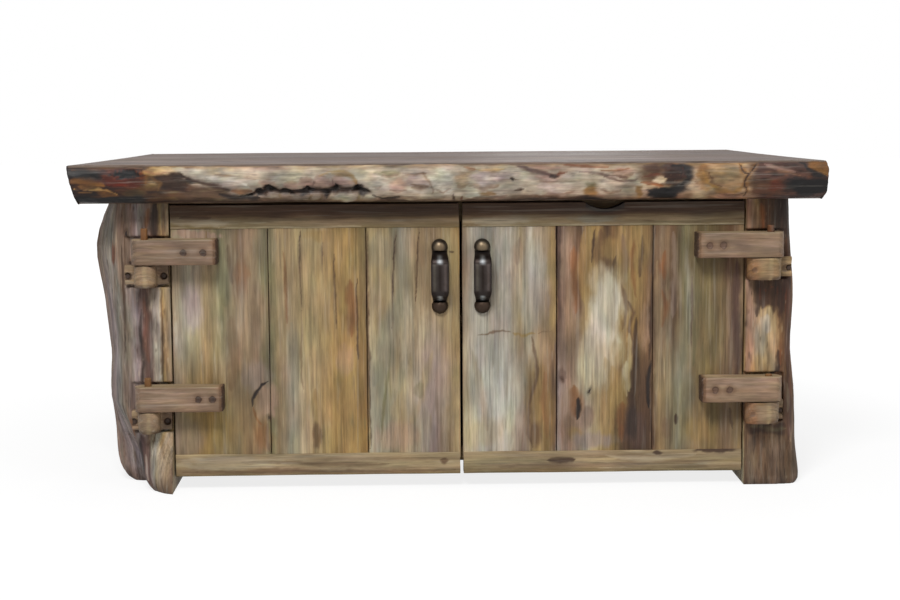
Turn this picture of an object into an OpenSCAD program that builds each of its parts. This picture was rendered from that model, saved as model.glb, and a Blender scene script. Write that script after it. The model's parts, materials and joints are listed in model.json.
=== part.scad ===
// Rustic TV stand: a live-edge slab on two log side slabs, closed by a pair of
// planked doors that swing on wooden pintle hinges.
// Frame: origin under the middle of the slab at floor level, +X to the right,
// +Y to the back, +Z up. All sizes are in millimetres.

/* [Overall] */
// Height of the top surface above the floor
cabinet_h = 620; // [560:1:680]
// Length of the live-edge slab
slab_w = 1400; // [1380:1:1500]
// Depth of the slab
slab_d = 575; // [560:1:615]
// Thickness of the slab
slab_t = 72; // [55:1:85]
// How far the slab reaches in front of the doors
slab_overhang = 75; // [66:1:95]
// Inner face of the left side slab, left of the centre
bay_left = 522; // [500:1:525]
// Inner face of the right side slab, right of the centre
bay_right = 561; // [540:1:570]
// Depth of the side slabs behind the door face
side_depth = 470; // [430:1:480]

/* [Doors] */
// Where the two doors meet, right of the centre
meet_x = 24; // [0:1:40]
// Gap between the two doors
meet_gap = 5; // [5:0.5:8]
// Gap between a door and its side slab
jamb_gap = 2; // [1.5:0.5:4]
// Height of the doors' lower edge above the floor
door_lift = 26; // [20:1:40]
// Gap between the doors and the underside of the slab
door_head_gap = 5; // [3:0.5:8]
// Thickness of the door rails
rail_t = 30; // [26:1:31]
// Height of the upper door rail
top_rail_h = 46; // [36:1:50]
// Height of the lower door rail
bottom_rail_h = 43; // [32:1:46]
// How far the planks lie behind the face of the rails
plank_recess = 2; // [1:0.5:4]
// Width of the outer plank of the left door
left_outer_w = 182; // [165:1:195]
// Width of the middle plank of the left door
left_middle_w = 184; // [160:1:200]
// Width of the inner plank of the right door
right_inner_w = 178; // [160:1:195]
// Width of the middle plank of the right door
right_middle_w = 182; // [160:1:200]
// Gap between the planks of a door
plank_gap = 0.8; // [0:0.1:2]
// Thickness of the tongue on each plank end
tongue_t = 10; // [8:0.5:12]
// Length of the tongue on each plank end
tongue_l = 12; // [8:1:16]
// Length of the natural scoop in the right door's upper rail
wane_w = 76; // [40:1:110]
// Depth of that scoop
wane_depth = 13; // [6:1:18]

/* [Hinges] */
// Distance of the hinge axis outside the door's edge
axis_out = 45; // [42:1:52]
// Thickness of a strap, front to back
strap_t = 44; // [36:1:48]
// Height of a strap
strap_h = 48; // [40:1:50]
// Bevel on a strap's end over the door
strap_bevel = 7; // [4:1:14]
// Reach of the left upper strap over the door, from the axis
left_upper_len = 136; // [128:1:160]
// Reach of the left lower strap
left_lower_len = 142; // [138:1:160]
// Reach of the right upper strap
right_upper_len = 141; // [134:1:160]
// Reach of the right lower strap
right_lower_len = 130; // [120:1:160]
// Height of a knuckle block
knuckle_h = 43; // [34:1:50]
// Radius of a knuckle's round boss
knuckle_r = 21; // [18:0.5:22]
// Thickness of a knuckle's screwed flange
flange_t = 14; // [10:1:16]
// Reach of the flanges away from the door, from the axis
left_upper_out = 41; // [38:1:44]
// The same on the left lower knuckle
left_lower_out = 35; // [33:1:40]
// The same on the right upper knuckle
right_upper_out = 45; // [38:1:48]
// The same on the right lower knuckle
right_lower_out = 32; // [32:1:40]
// Reach of the left knuckles' bosses toward the door, from the axis
left_boss = 21; // [18:1:45]
// Reach of the right upper knuckle's broad boss toward the door
right_upper_boss = 45; // [22:1:45]
// Reach of the right lower knuckle's broad boss toward the door
right_lower_boss = 45; // [22:1:45]
// Depth of the flat cut in a side slab for its hinges, behind the door face
seat_depth = 8; // [7.5:0.5:14]
// Radius of the hinge pins
pin_r = 6.5; // [5:0.5:8]
// How far the left upper pin stands out of its strap
left_upper_pin_out = 20; // [1:1:24]
// How far the left lower pin stands out
left_lower_pin_out = 15; // [1:1:20]
// How far the right upper pin stands out
right_upper_pin_out = 12; // [1:1:20]
// How far the right lower pin stands out
right_lower_pin_out = 3; // [1:1:20]
// Top of the left upper knuckle below the slab
left_upper_drop = 115; // [108:1:150]
// Top of the right upper knuckle below the slab
right_upper_drop = 110; // [108:1:150]
// Top of the left lower knuckle above the floor
left_lower_z = 157; // [120:1:190]
// Top of the right lower knuckle above the floor
right_lower_z = 165; // [120:1:190]

/* [Pulls] */
// Distance of a pull's centre line from the middle of the door gap
pull_offset = 40; // [30:1:70]
// Centre of the pulls below the slab
pull_drop = 143; // [138:1:200]
// Overall length of a pull
pull_len = 142; // [124:1:160]
// Radius of a pull's end dome
dome_r = 15.5; // [12:0.5:17]
// Height of a pull's end dome
dome_h = 12; // [8:0.5:14]
// Length of a dome from its tip to the flat where the grip begins
dome_len = 22.5; // [20:0.5:24]
// Width of a pull's grip
grip_w = 33; // [24:1:36]
// How far the grip stands off the door, outside
grip_out = 34; // [28:1:40]
// Thickness of the grip
grip_t = 7; // [5:0.5:9]
// Thickness of the grip's feet under the domes
foot_t = 3; // [2:0.5:4]

/* [Carcass] */
// Height of the underside of the bottom boards
bottom_z = 46; // [42:1:60]
// Thickness of the bottom boards
bottom_t = 26; // [18:1:30]
// Height of the underside of the shelf
shelf_z = 300; // [240:1:340]
// Thickness of the shelf boards
shelf_t = 22; // [16:1:28]
// How far the shelf lies behind the front rail
shelf_setback = 30; // [10:1:120]
// Height of the front and back top rails
carcass_rail_h = 43; // [36:1:50]
// Thickness of the front and back top rails
carcass_rail_t = 28; // [22:1:34]
// Gap between the doors and the carcass rail behind them
stop_gap = 2; // [1.8:0.1:3]
// Thickness of the back boards
back_t = 18; // [12:1:21]
// Depth of the housings in the side slabs
housing = 12; // [8:1:14]
// Gap between neighbouring boards of the carcass
board_gap = 1; // [0:0.5:3]
// Width and height of the cleats under the slab
cleat = 30; // [26:1:36]

/* [Hidden] */
$fn = 64;
fit = 0.2;          // clearance of a housed, tongued or screwed joint
running = 0.06;     // radial clearance of a strap on its pin
wear_gap = 0.3;     // between a strap and the knuckle that carries it
nudge = 0.1;        // how far a cut runs past the face it opens

leg_h = cabinet_h - slab_t;
face_y = -slab_d/2 + slab_overhang;          // the doors' front plane
plank_y = face_y + plank_recess;
door_back_y = face_y + rail_t;
plank_back_y = door_back_y - 3;
door_top = leg_h - door_head_gap;
axis_y = plank_y - strap_t/2;
seat_y = face_y + seat_depth;
left_axis_x = -bay_left + jamb_gap - axis_out;
right_axis_x = bay_right - jamb_gap + axis_out;
left_door_x = [-bay_left + jamb_gap, meet_x - meet_gap/2];
right_door_x = [meet_x + meet_gap/2, bay_right - jamb_gap];
front_rail_y = door_back_y + stop_gap;
back_y = face_y + side_depth - 4;            // rear face of the back boards
board_back_y = back_y - back_t;
plank_z = [door_lift + bottom_rail_h, door_top - top_rail_h];
left_upper_z = leg_h - left_upper_drop;
right_upper_z = leg_h - right_upper_drop;
pull_z = leg_h - pull_drop;
strap_end_r = strap_t/2 + 3;
flange_in = axis_out - jamb_gap - 1;         // reach of a flange to the door side
foot_reach = strap_t/2 - plank_recess + 16;  // stays inside the swing of the door

slab_wood = [0.47, 0.38, 0.29];
side_wood = [0.45, 0.40, 0.34];
plank_wood = [0.60, 0.53, 0.38];
rail_wood = [0.50, 0.42, 0.29];
hinge_wood = [0.56, 0.43, 0.33];
inner_wood = [0.55, 0.46, 0.33];
dowel_wood = [0.62, 0.38, 0.18];
bronze = [0.17, 0.14, 0.12];
steel = [0.36, 0.34, 0.33];

// ---------------------------------------------------------------- lofting

// Triangles of the strip between ring a and ring b, each of n points.
function strip(a, b, n) = [
    for (i = [0:n - 1]) let (j = (i + 1)%n) each [
        [a*n + i, b*n + j, a*n + j],
        [a*n + i, b*n + i, b*n + j]
    ]
];

// Triangles that close a ring of n points, zipped across from both sides.
// Turned is true for the ring whose cap faces the other way.
function cap(a, n, turned) = [
    for (i = [0:n/2 - 2])
        let (p = a*n + i, q = a*n + i + 1, r = a*n + n - 2 - i, s = a*n + n - 1 - i)
        each (turned ? [[p, s, q], [q, s, r]] : [[p, q, s], [q, r, s]])
];

// A closed solid through rings that have the same even number of points.
module loft(rings) {
    n = len(rings[0]);
    last = len(rings) - 1;
    polyhedron(
        points = [for (ring = rings) each ring],
        faces = concat(
            cap(0, n, false),
            [for (k = [0:last - 1]) each strip(k, k + 1, n)],
            cap(last, n, true)
        ),
        convexity = 6
    );
}

// Point at t of the Catmull-Rom curve from b to c, with neighbours a and d.
function curve_point(a, b, c, d, t) =
    0.5*(2*b + (c - a)*t + (2*a - 5*b + 4*c - d)*t*t + (3*b - a - 3*c + d)*t*t*t);

// A smooth curve through the points p, with so many steps for each span.
function smooth(p, steps) = [
    for (i = [0:len(p) - 2], k = [0:steps - 1])
        curve_point(p[max(i - 1, 0)], p[i], p[i + 1], p[min(i + 2, len(p) - 1)], k/steps),
    p[len(p) - 1]
];

// -------------------------------------------------------------- fasteners

screw_r = 2.1;
screw_head_r = 4.2;
screw_head_t = 3;
screw_len = 44;
access_r = 6;           // bore in the wood that takes a screw's head below the face
flange_sink = 5;        // depth of that bore in a flange or a cleat
strap_sink = 12;        // depth of that bore in a strap
strap_screw_len = strap_t - strap_sink + plank_back_y - plank_y - 4;
nail_r = 1.5;
nail_head_r = 3.5;
nail_len = 40;

// A countersunk wood screw along +Z, with the top of its head at the origin.
module screw(length) rotate_extrude() polygon([
    [0, 0], [screw_head_r, 0], [screw_head_r, 0.8], [screw_r, screw_head_t],
    [screw_r, length - 6], [0.4, length], [0, length]
]);

// The hole around such a screw, with its bore out to the face at depth sink.
// The cone carries the head; everything else has clearance.
module screw_hole(length, sink) {
    slope = (screw_head_t - 0.8)/(screw_head_r - screw_r);
    rotate_extrude() polygon([
        [0, -sink - nudge], [access_r, -sink - nudge], [access_r, 0],
        [screw_head_r + fit, 0], [screw_head_r + fit, 0.8 - fit*slope],
        [screw_r + fit, screw_head_t - fit*slope], [screw_r + fit, length + 1], [0, length + 1]
    ]);
}

// A round wire nail along -Y, with its head flush at the origin.
module nail() rotate([90, 0, 0]) {
    cylinder(r = nail_head_r, h = 1.2);
    cylinder(r = nail_r, h = nail_len - 3);
    translate([0, 0, nail_len - 3]) cylinder(r1 = nail_r, r2 = 0.3, h = 3);
}

module nail_hole() rotate([90, 0, 0]) {
    translate([0, 0, -nudge]) cylinder(r = nail_head_r + fit, h = 1.2 + nudge);
    cylinder(r = nail_r + fit/2, h = nail_len + 1);
}

// Screws of one cleat: across into the side slab, up into the top slab.
cleat_y = [front_rail_y + carcass_rail_t + 6, board_back_y - carcass_rail_t - 6];
cleat_across_y = [cleat_y[0] + 60, (cleat_y[0] + cleat_y[1])/2, cleat_y[1] - 60];
cleat_up_y = [cleat_y[0] + 25, (cleat_y[0] + cleat_y[1])/2 - 60, cleat_y[1] - 25];

// Places the children at each screw of one cleat; sign is -1 on the left.
module at_cleat_screws(sign) {
    wall = sign < 0 ? -bay_left : bay_right;
    for (y = cleat_across_y)
        translate([wall - sign*(cleat - flange_sink), y, leg_h - cleat*0.4])
            rotate([0, sign*90, 0]) children();
    for (y = cleat_up_y)
        translate([wall - sign*cleat*0.55, y, leg_h - cleat + flange_sink]) children();
}

// X of the two screws in a knuckle's flanges: door side, then outer side.
function flange_screw_x(axis_x, sign, out) = [
    axis_x - sign*(knuckle_r + (flange_in - knuckle_r)/2 + 1), axis_x + sign*(out - 5.4)
];

// Hinges of one side: [height of the knuckle's top, flange reach, strap reach,
// the strap's screws from the axis, how far the pin stands out, boss reach].
left_hinges = [
    [left_upper_z, left_upper_out, left_upper_len, [74, 111], left_upper_pin_out,
     left_boss],
    [left_lower_z, left_lower_out, left_lower_len, [96, 122], left_lower_pin_out,
     left_boss]
];
right_hinges = [
    [right_upper_z, right_upper_out, right_upper_len, [92, 117], right_upper_pin_out,
     right_upper_boss],
    [right_lower_z, right_lower_out, right_lower_len, [77, 104], right_lower_pin_out,
     right_lower_boss]
];

module at_flange_screws(hinges, axis_x, sign)
    for (h = hinges, x = flange_screw_x(axis_x, sign, h[1]))
        translate([x, seat_y - flange_t + flange_sink, h[0] - knuckle_h/2 - 1])
            rotate([-90, 0, 0]) children();

module at_strap_screws(hinges, axis_x, sign)
    for (h = hinges, d = h[3])
        translate([axis_x - sign*d, plank_y - strap_t + strap_sink, h[0] + wear_gap + strap_h/2])
            rotate([-90, 0, 0]) children();

// ---------------------------------------------------------------- top slab

slab_stations = 64;
// Rise and fall of the live edge in plan, at t from 0 at the left to 1.
function edge_wave(t) = 3.2*sin(620*t + 40) + 2.1*sin(1430*t) + 1.2*sin(2700*t + 80);
edge_waves = [for (i = [0:slab_stations]) edge_wave(i/slab_stations)];
// Profile of the live edge from its lip down: [inset, share of the thickness].
edge_profile = [[9, 1], [3, 0.95], [0, 0.80], [0, 0.55], [3, 0.34], [8, 0.15], [17, 0.03], [26, 0]];
// How far each sawn end runs in, from the front (0) to the back (1).
left_end = [[0, 0], [0.10, 12], [0.30, 31], [0.60, 56], [1, 83]];
right_end = [[0, 0], [0.10, 14], [0.30, 34], [0.60, 60], [1, 87]];
end_bevel = 16;     // how far the underside of the left end lies inside the top
// How far the right end lies in over its height, from the underside (0).
end_bow = [[0, 5], [0.2, 1.5], [0.4, 0], [0.8, 0], [1, 3]];
// Depth of the rows of points between the back and the live edge.
slab_rows = [1, 0.75, 0.5, 0.32, 0.18, 0.08];

// Point of the slab at length share t, inset and depth share, height share h.
function slab_point(t, inset, depth, h) =
    let (
        left = -slab_w/2 + lookup(depth, left_end) + end_bevel*(1 - h),
        right = slab_w/2 - lookup(depth, right_end) - lookup(h, end_bow),
        wave = edge_wave(t) - min(edge_waves),
        y = -slab_d/2 + depth*slab_d + (1 - depth)*(inset + wave)
    )
    [left + (right - left)*t, y, leg_h + slab_t*h];

function slab_ring(t) = concat(
    [for (d = slab_rows) slab_point(t, 0, d, 1)],
    [for (p = edge_profile) slab_point(t, p[0], 0, p[1])],
    [for (i = [len(slab_rows) - 1:-1:0]) slab_point(t, 0, slab_rows[i], 0)]
);

module top_slab() color(slab_wood) difference() {
    loft([for (i = [0:slab_stations]) slab_ring(i/slab_stations)]);
    for (sign = [-1, 1]) at_cleat_screws(sign) screw_hole(screw_len, 0);
}

// ------------------------------------------------------------- side slabs

// Each log is described over the share of its height, from the floor (0).
// front: how far its face stands in front of the doors, at the inner edge.
// slant: how far that face runs back towards its outer edge.
// face: width of the face. bulge: width where the log is widest.
// fold: how far behind the doors the hollow beside the face lies.
left_log = [
    [[0, foot_reach], [0.06, 0.9*foot_reach], [0.12, 0.64*foot_reach],
     [0.20, 0.16*foot_reach], [0.28, 0], [1, 0]],
    [[0, 34], [0.10, 22], [0.20, 6], [0.28, 0], [1, 0]],
    [[0, 42], [0.02, 52], [0.05, 59], [0.12, 63], [0.20, 78], [0.28, 88], [0.5, 86],
     [0.7, 91], [0.82, 96], [0.94, 90], [1, 84]],
    [[0, 92], [0.02, 109], [0.05, 119], [0.1, 125], [0.2, 127], [0.31, 136], [0.38, 135],
     [0.47, 132], [0.56, 137], [0.67, 143], [0.76, 152], [0.82, 157], [0.87, 154],
     [0.93, 144], [1, 126]],
    [[0, 70], [0.14, 62], [0.22, 40], [0.30, 14], [1, 12]]
];
right_log = [
    [[0, 6], [0.15, 2], [1, 0]],
    [[0, 0], [1, 0]],
    [[0, 100], [0.02, 106], [0.07, 103], [0.14, 98], [0.21, 97], [0.32, 95], [0.39, 90],
     [0.48, 85], [0.53, 86], [0.64, 89], [0.71, 88], [0.85, 82], [0.92, 79], [1, 77]],
    [[0, 98], [0.02, 108], [0.1, 107], [0.3, 103], [0.5, 96], [0.7, 96], [1, 86]],
    [[0, 34], [1, 30]]
];
log_levels = 25;
log_steps = 2;

// Outline of a log's outer side from the front corner round to the back one.
function log_curve(log, h) =
    let (
        front = -lookup(h, log[0]),
        slant = lookup(h, log[1]),
        face = lookup(h, log[2]),
        bulge = lookup(h, log[3]),
        fold = lookup(h, log[4]),
        ease = max(0, 0.25*(55 - fold))     // a shallow hollow is wide and soft
    )
    smooth([
        [0, front], [0.4*face, front - 1 + 0.3*slant], [0.8*face, front + 2 + 0.8*slant],
        [face, front + 12 - 0.3*ease + slant],
        [face + 3 + ease, max(fold, front + slant + 26 - 0.6*ease)],
        [0.5*face + 0.5*bulge + 0.3*ease, fold + 20 + ease],
        [0.97*bulge, 96], [bulge, 150], [0.93*bulge, 0.50*side_depth],
        [0.80*bulge, 0.70*side_depth], [0.68*bulge, 0.87*side_depth],
        [0.60*bulge, 0.95*side_depth], [0.48*bulge, side_depth], [0, side_depth]
    ], log_steps);

// A level ring: the curve outside, then the flat sawn face back to the start.
function log_ring(log, h) =
    let (
        curve = log_curve(log, h),
        n = len(curve),
        front = curve[0][1]
    )
    [
        for (p = curve) [p[0], p[1], h*leg_h],
        for (i = [n - 2:-1:1]) [0, front + (side_depth - front)*i/(n - 1), h*leg_h]
    ];

// Levels lie closer together near the foot, where the heel is rounded.
function log_level(i) = pow(i/log_levels, 1.3);

module log(shape) loft([for (i = [0:log_levels]) log_ring(shape, log_level(i))]);

// The housings of the boards and rails in a side slab, in its own frame:
// +X points out of the cabinet and Y = 0 is the doors' front plane.
module housings() {
    depth = board_back_y - front_rail_y;
    translate([-nudge, front_rail_y - face_y - fit, bottom_z])
        cube([housing + nudge, depth + 2*fit, bottom_t + fit]);
    translate([-nudge, front_rail_y - face_y + shelf_setback - fit, shelf_z])
        cube([housing + nudge, depth - shelf_setback + 2*fit, shelf_t + fit]);
    for (y = [front_rail_y, board_back_y - carcass_rail_t])
        translate([-nudge, y - face_y - fit, leg_h - carcass_rail_h])
            cube([housing + nudge, carcass_rail_t + 2*fit, carcass_rail_h + nudge]);
}

// Flat cut across a log for one hinge, with room for the strap to swing.
module hinge_seat(top, out) {
    reach = axis_out - jamb_gap + out + fit;
    translate([-nudge, -80, top - knuckle_h - fit])
        cube([reach + nudge, 80 + seat_depth, knuckle_h + strap_h + fit + wear_gap + 3]);
}

module side_slab(shape, hinges, axis_x, sign) color(side_wood) difference() {
    translate([sign < 0 ? -bay_left : bay_right, face_y, 0])
        mirror([sign < 0 ? 1 : 0, 0, 0])
            difference() {
                log(shape);
                housings();
                for (h = hinges) hinge_seat(h[0], h[1]);
            }
    at_flange_screws(hinges, axis_x, sign) screw_hole(screw_len, 0);
    at_cleat_screws(sign) screw_hole(screw_len, 0);
}

module left_side_slab() side_slab(left_log, left_hinges, left_axis_x, -1);
module right_side_slab() side_slab(right_log, right_hinges, right_axis_x, 1);

// ----------------------------------------------------------------- carcass

inner_x = [-bay_left - housing + fit, bay_right + housing - fit];
shelf_y = front_rail_y + shelf_setback;

// One of several boards that lie side by side from y0 to y1.
module lying_board(i, count, y0, y1, z, t) {
    w = (y1 - y0 - (count - 1)*board_gap)/count;
    translate([inner_x[0], y0 + i*(w + board_gap), z])
        cube([inner_x[1] - inner_x[0], w, t]);
}

module bottom_board(i) color(inner_wood) difference() {
    lying_board(i, 3, front_rail_y, board_back_y, bottom_z, bottom_t);
    at_back_nails() nail_hole();
}
module bottom_board_front() bottom_board(0);
module bottom_board_middle() bottom_board(1);
module bottom_board_back() bottom_board(2);

module shelf_board(i) color(inner_wood)
    lying_board(i, 2, shelf_y, board_back_y, shelf_z, shelf_t);
module shelf_board_front() shelf_board(0);
module shelf_board_back() shelf_board(1);

back_count = 5;
back_w = (bay_left + bay_right - 2*board_gap - (back_count - 1)*board_gap)/back_count;
function back_x(i) = -bay_left + board_gap + i*(back_w + board_gap);

// Two nails at the foot and two at the head of every back board.
module at_back_nails()
    for (i = [0:back_count - 1], side = [0.22, 0.78],
         z = [bottom_z + bottom_t/2, leg_h - carcass_rail_h/2])
        translate([back_x(i) + side*back_w, back_y, z]) children();

module back_board(i) color(inner_wood) difference() {
    translate([back_x(i), board_back_y, bottom_z]) cube([back_w, back_t, leg_h - bottom_z]);
    at_back_nails() nail_hole();
}
module back_board_1() back_board(0);
module back_board_2() back_board(1);
module back_board_3() back_board(2);
module back_board_4() back_board(3);
module back_board_5() back_board(4);
module back_nails() color(steel) at_back_nails() nail();

module carcass_rail(y) translate([inner_x[0], y, leg_h - carcass_rail_h])
    cube([inner_x[1] - inner_x[0], carcass_rail_t, carcass_rail_h]);

module front_top_rail() color(rail_wood) difference() {
    carcass_rail(front_rail_y);
    for (x = catch_x) catch_at(x) cube([catch_w + 2*fit, 2*catch_d + 2*fit, catch_h + 2*fit], center = true);
}
module back_top_rail() color(rail_wood) difference() {
    carcass_rail(board_back_y - carcass_rail_t);
    at_back_nails() nail_hole();
}

module top_cleat(sign) color(inner_wood) difference() {
    translate([sign < 0 ? -bay_left : bay_right - cleat, cleat_y[0], leg_h - cleat])
        cube([cleat, cleat_y[1] - cleat_y[0], cleat]);
    at_cleat_screws(sign) screw_hole(screw_len, flange_sink);
}
module left_top_cleat() top_cleat(-1);
module right_top_cleat() top_cleat(1);
module cleat_screws() color(steel) for (sign = [-1, 1]) at_cleat_screws(sign) screw(screw_len);

// ------------------------------------------------------- catches and strikes

catch_w = 42;
catch_h = 14;
catch_d = 14;       // depth of the catch in its mortise in the front rail
strike_w = 38;
strike_h = 16;
strike_t = 1.2;
strike_gap = 0.4;   // between a strike and the catch when the door is shut
catch_x = [left_door_x[1] - 60, right_door_x[0] + 60];
catch_z = (leg_h - carcass_rail_h + door_top)/2;

module catch_at(x) translate([x, front_rail_y, catch_z]) children();

// Magnet case with a rounded lip that stands a little out of the rail.
module catch(x) color(bronze) catch_at(x) {
    out = stop_gap - strike_t - strike_gap;
    translate([-catch_w/2, -out, -catch_h/2]) cube([catch_w, catch_d + out, catch_h]);
}
module left_catch() catch(catch_x[0]);
module right_catch() catch(catch_x[1]);

module at_strike_spikes(x) for (s = [-1, 1])
    translate([x + s*strike_w*0.36, door_back_y, catch_z]) rotate([90, 0, 0]) children();

// Steel plate on the door's back, held by two driven spikes.
module strike(x) color(steel) union() {
    translate([x - strike_w/2, door_back_y, catch_z - strike_h/2])
        cube([strike_w, strike_t, strike_h]);
    at_strike_spikes(x) cylinder(r = 1.4, h = 9);
}
module left_strike() strike(catch_x[0]);
module right_strike() strike(catch_x[1]);

// ------------------------------------------------------------------ hinges

// The part of a broad boss between the axis and the door, with a round end.
module broad_boss(h, axis_x, sign) mirror([sign < 0 ? 1 : 0, 0, 0]) {
    middle = h[5] - knuckle_r;
    block = min(h[5], flange_in);
    translate([abs(axis_x) - middle, axis_y, h[0] - knuckle_h]) {
        cylinder(r = knuckle_r, h = knuckle_h);
        translate([0, -knuckle_r, 0]) cube([middle, knuckle_r, knuckle_h]);
    }
    translate([abs(axis_x) - block, axis_y, h[0] - knuckle_h])
        cube([block, seat_y - axis_y, knuckle_h]);
}

// Carved block: a round boss on the axis between two screwed flanges.
module knuckle(h, axis_x, sign) color(hinge_wood) difference() {
    union() {
        translate([axis_x, axis_y, h[0] - knuckle_h]) {
            translate([0, 0, 7]) cylinder(r = knuckle_r, h = knuckle_h - 7);
            cylinder(r1 = knuckle_r - 4, r2 = knuckle_r, h = 7);
        }
        translate([axis_x - knuckle_r, axis_y, h[0] - knuckle_h])
            cube([2*knuckle_r, seat_y - axis_y, knuckle_h]);
        if (h[5] > knuckle_r) broad_boss(h, axis_x, sign);
        translate([sign < 0 ? axis_x - h[1] : axis_x - flange_in, seat_y - flange_t, h[0] - knuckle_h + 4])
            cube([h[1] + flange_in, flange_t, knuckle_h - 4]);
    }
    translate([axis_x, axis_y, h[0] - pin_hole_depth])
        cylinder(r = pin_r, h = pin_hole_depth + nudge);
    // The bores reach the screws through the front of a broad boss too.
    at_flange_screws([h], axis_x, sign) screw_hole(screw_len, flange_sink + 2*knuckle_r);
}
pin_hole_depth = knuckle_h - 9;

module left_upper_knuckle() knuckle(left_hinges[0], left_axis_x, -1);
module left_lower_knuckle() knuckle(left_hinges[1], left_axis_x, -1);
module right_upper_knuckle() knuckle(right_hinges[0], right_axis_x, 1);
module right_lower_knuckle() knuckle(right_hinges[1], right_axis_x, 1);
module knuckle_screws() color(steel) {
    at_flange_screws(left_hinges, left_axis_x, -1) screw(screw_len);
    at_flange_screws(right_hinges, right_axis_x, 1) screw(screw_len);
}

// Dowel fixed in the knuckle, with its top edge eased.
module hinge_pin(h, axis_x) color(dowel_wood)
    translate([axis_x, axis_y, h[0] - pin_hole_depth]) {
        length = pin_hole_depth + wear_gap + strap_h + h[4];
        rotate_extrude() polygon([
            [0, 0], [pin_r, 0], [pin_r, length - 1], [pin_r - 1, length], [0, length]
        ]);
    }
module left_upper_pin() hinge_pin(left_hinges[0], left_axis_x);
module left_lower_pin() hinge_pin(left_hinges[1], left_axis_x);
module right_upper_pin() hinge_pin(right_hinges[0], right_axis_x);
module right_lower_pin() hinge_pin(right_hinges[1], right_axis_x);

// Thick bar with a round pivot end and a bevelled end over the door.
module strap(h, axis_x, sign) color(hinge_wood) difference() {
    translate([axis_x, axis_y, h[0] + wear_gap]) mirror([sign < 0 ? 0 : 1, 0, 0]) {
        linear_extrude(strap_h) polygon([
            [0, -strap_t/2], [h[2] - strap_bevel, -strap_t/2], [h[2], -strap_t/2 + strap_bevel],
            [h[2], strap_t/2], [0, strap_t/2]
        ]);
        intersection() {
            cylinder(r = strap_end_r, h = strap_h);
            translate([-strap_end_r - 1, -strap_t/2, 0])
                cube([strap_end_r + 2, strap_t, strap_h]);
        }
    }
    translate([axis_x, axis_y, h[0]]) cylinder(r = pin_r + running, h = strap_h + 1);
    at_strap_screws([h], axis_x, sign) screw_hole(strap_screw_len, strap_sink);
}
module left_upper_strap() strap(left_hinges[0], left_axis_x, -1);
module left_lower_strap() strap(left_hinges[1], left_axis_x, -1);
module right_upper_strap() strap(right_hinges[0], right_axis_x, 1);
module right_lower_strap() strap(right_hinges[1], right_axis_x, 1);
module left_strap_screws() color(steel)
    at_strap_screws(left_hinges, left_axis_x, -1) screw(strap_screw_len);
module right_strap_screws() color(steel)
    at_strap_screws(right_hinges, right_axis_x, 1) screw(strap_screw_len);

// ------------------------------------------------------------------- doors

// Middle of the planks' thickness, where the tongues and grooves run.
tongue_y = (plank_y + plank_back_y)/2;

// Plank from x0 to x1 with a tongue on both ends.
module plank(x0, x1) {
    translate([x0, plank_y, plank_z[0]])
        cube([x1 - x0, plank_back_y - plank_y, plank_z[1] - plank_z[0]]);
    translate([x0, tongue_y - tongue_t/2, plank_z[0] - tongue_l])
        cube([x1 - x0, tongue_t, plank_z[1] - plank_z[0] + 2*tongue_l]);
}

module door_plank(x0, x1, hinges, axis_x, sign, pull_x) color(plank_wood) difference() {
    plank(x0, x1);
    at_strap_screws(hinges, axis_x, sign) screw_hole(strap_screw_len, 0);
    at_domes(pull_x) cylinder(r = stud_r, h = stud_len + 1);
}

left_seams = [left_door_x[0] + left_outer_w, left_door_x[0] + left_outer_w + left_middle_w];
right_seams = [right_door_x[0] + right_inner_w, right_door_x[0] + right_inner_w + right_middle_w];
left_pull_x = meet_x - pull_offset;
right_pull_x = meet_x + pull_offset;

module left_plank(x0, x1) door_plank(x0, x1, left_hinges, left_axis_x, -1, left_pull_x);
module right_plank(x0, x1) door_plank(x0, x1, right_hinges, right_axis_x, 1, right_pull_x);
module left_door_plank_outer() left_plank(left_door_x[0], left_seams[0] - plank_gap/2);
module left_door_plank_middle() left_plank(left_seams[0] + plank_gap/2, left_seams[1] - plank_gap/2);
module left_door_plank_inner() left_plank(left_seams[1] + plank_gap/2, left_door_x[1]);
module right_door_plank_inner() right_plank(right_door_x[0], right_seams[0] - plank_gap/2);
module right_door_plank_middle() right_plank(right_seams[0] + plank_gap/2, right_seams[1] - plank_gap/2);
module right_door_plank_outer() right_plank(right_seams[1] + plank_gap/2, right_door_x[1]);

// Rail of a door over z0 to z1, grooved for the tongues at the height at.
module door_rail(span, z0, z1, groove_z, groove_h) difference() {
    translate([span[0], face_y, z0]) cube([span[1] - span[0], rail_t, z1 - z0]);
    translate([span[0] - 1, tongue_y - tongue_t/2 - fit, groove_z])
        cube([span[1] - span[0] + 2, tongue_t + 2*fit, groove_h]);
}
module top_rail(span, strike_x) color(rail_wood) difference() {
    door_rail(span, plank_z[1], door_top, plank_z[1] - nudge, tongue_l + fit + nudge);
    at_strike_spikes(strike_x) translate([0, 0, -nudge]) cylinder(r = 1.4, h = 10);
}
module bottom_rail(span) color(rail_wood)
    door_rail(span, door_lift, plank_z[0], plank_z[0] - tongue_l - fit, tongue_l + fit + nudge);

module left_door_top_rail() top_rail(left_door_x, catch_x[0]);
module left_door_bottom_rail() bottom_rail(left_door_x);
module right_door_bottom_rail() bottom_rail(right_door_x);
// The right upper rail keeps a natural scoop in its top edge.
module right_door_top_rail() difference() {
    top_rail(right_door_x, catch_x[1]);
    scoop_r = (wane_w*wane_w/4 + wane_depth*wane_depth)/(2*wane_depth);
    translate([right_door_x[0] + 0.505*(right_door_x[1] - right_door_x[0]), face_y - 1,
               door_top + scoop_r - wane_depth])
        rotate([-90, 0, 0]) cylinder(r = scoop_r, h = rail_t + 2);
}

// ------------------------------------------------------------------- pulls

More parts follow.
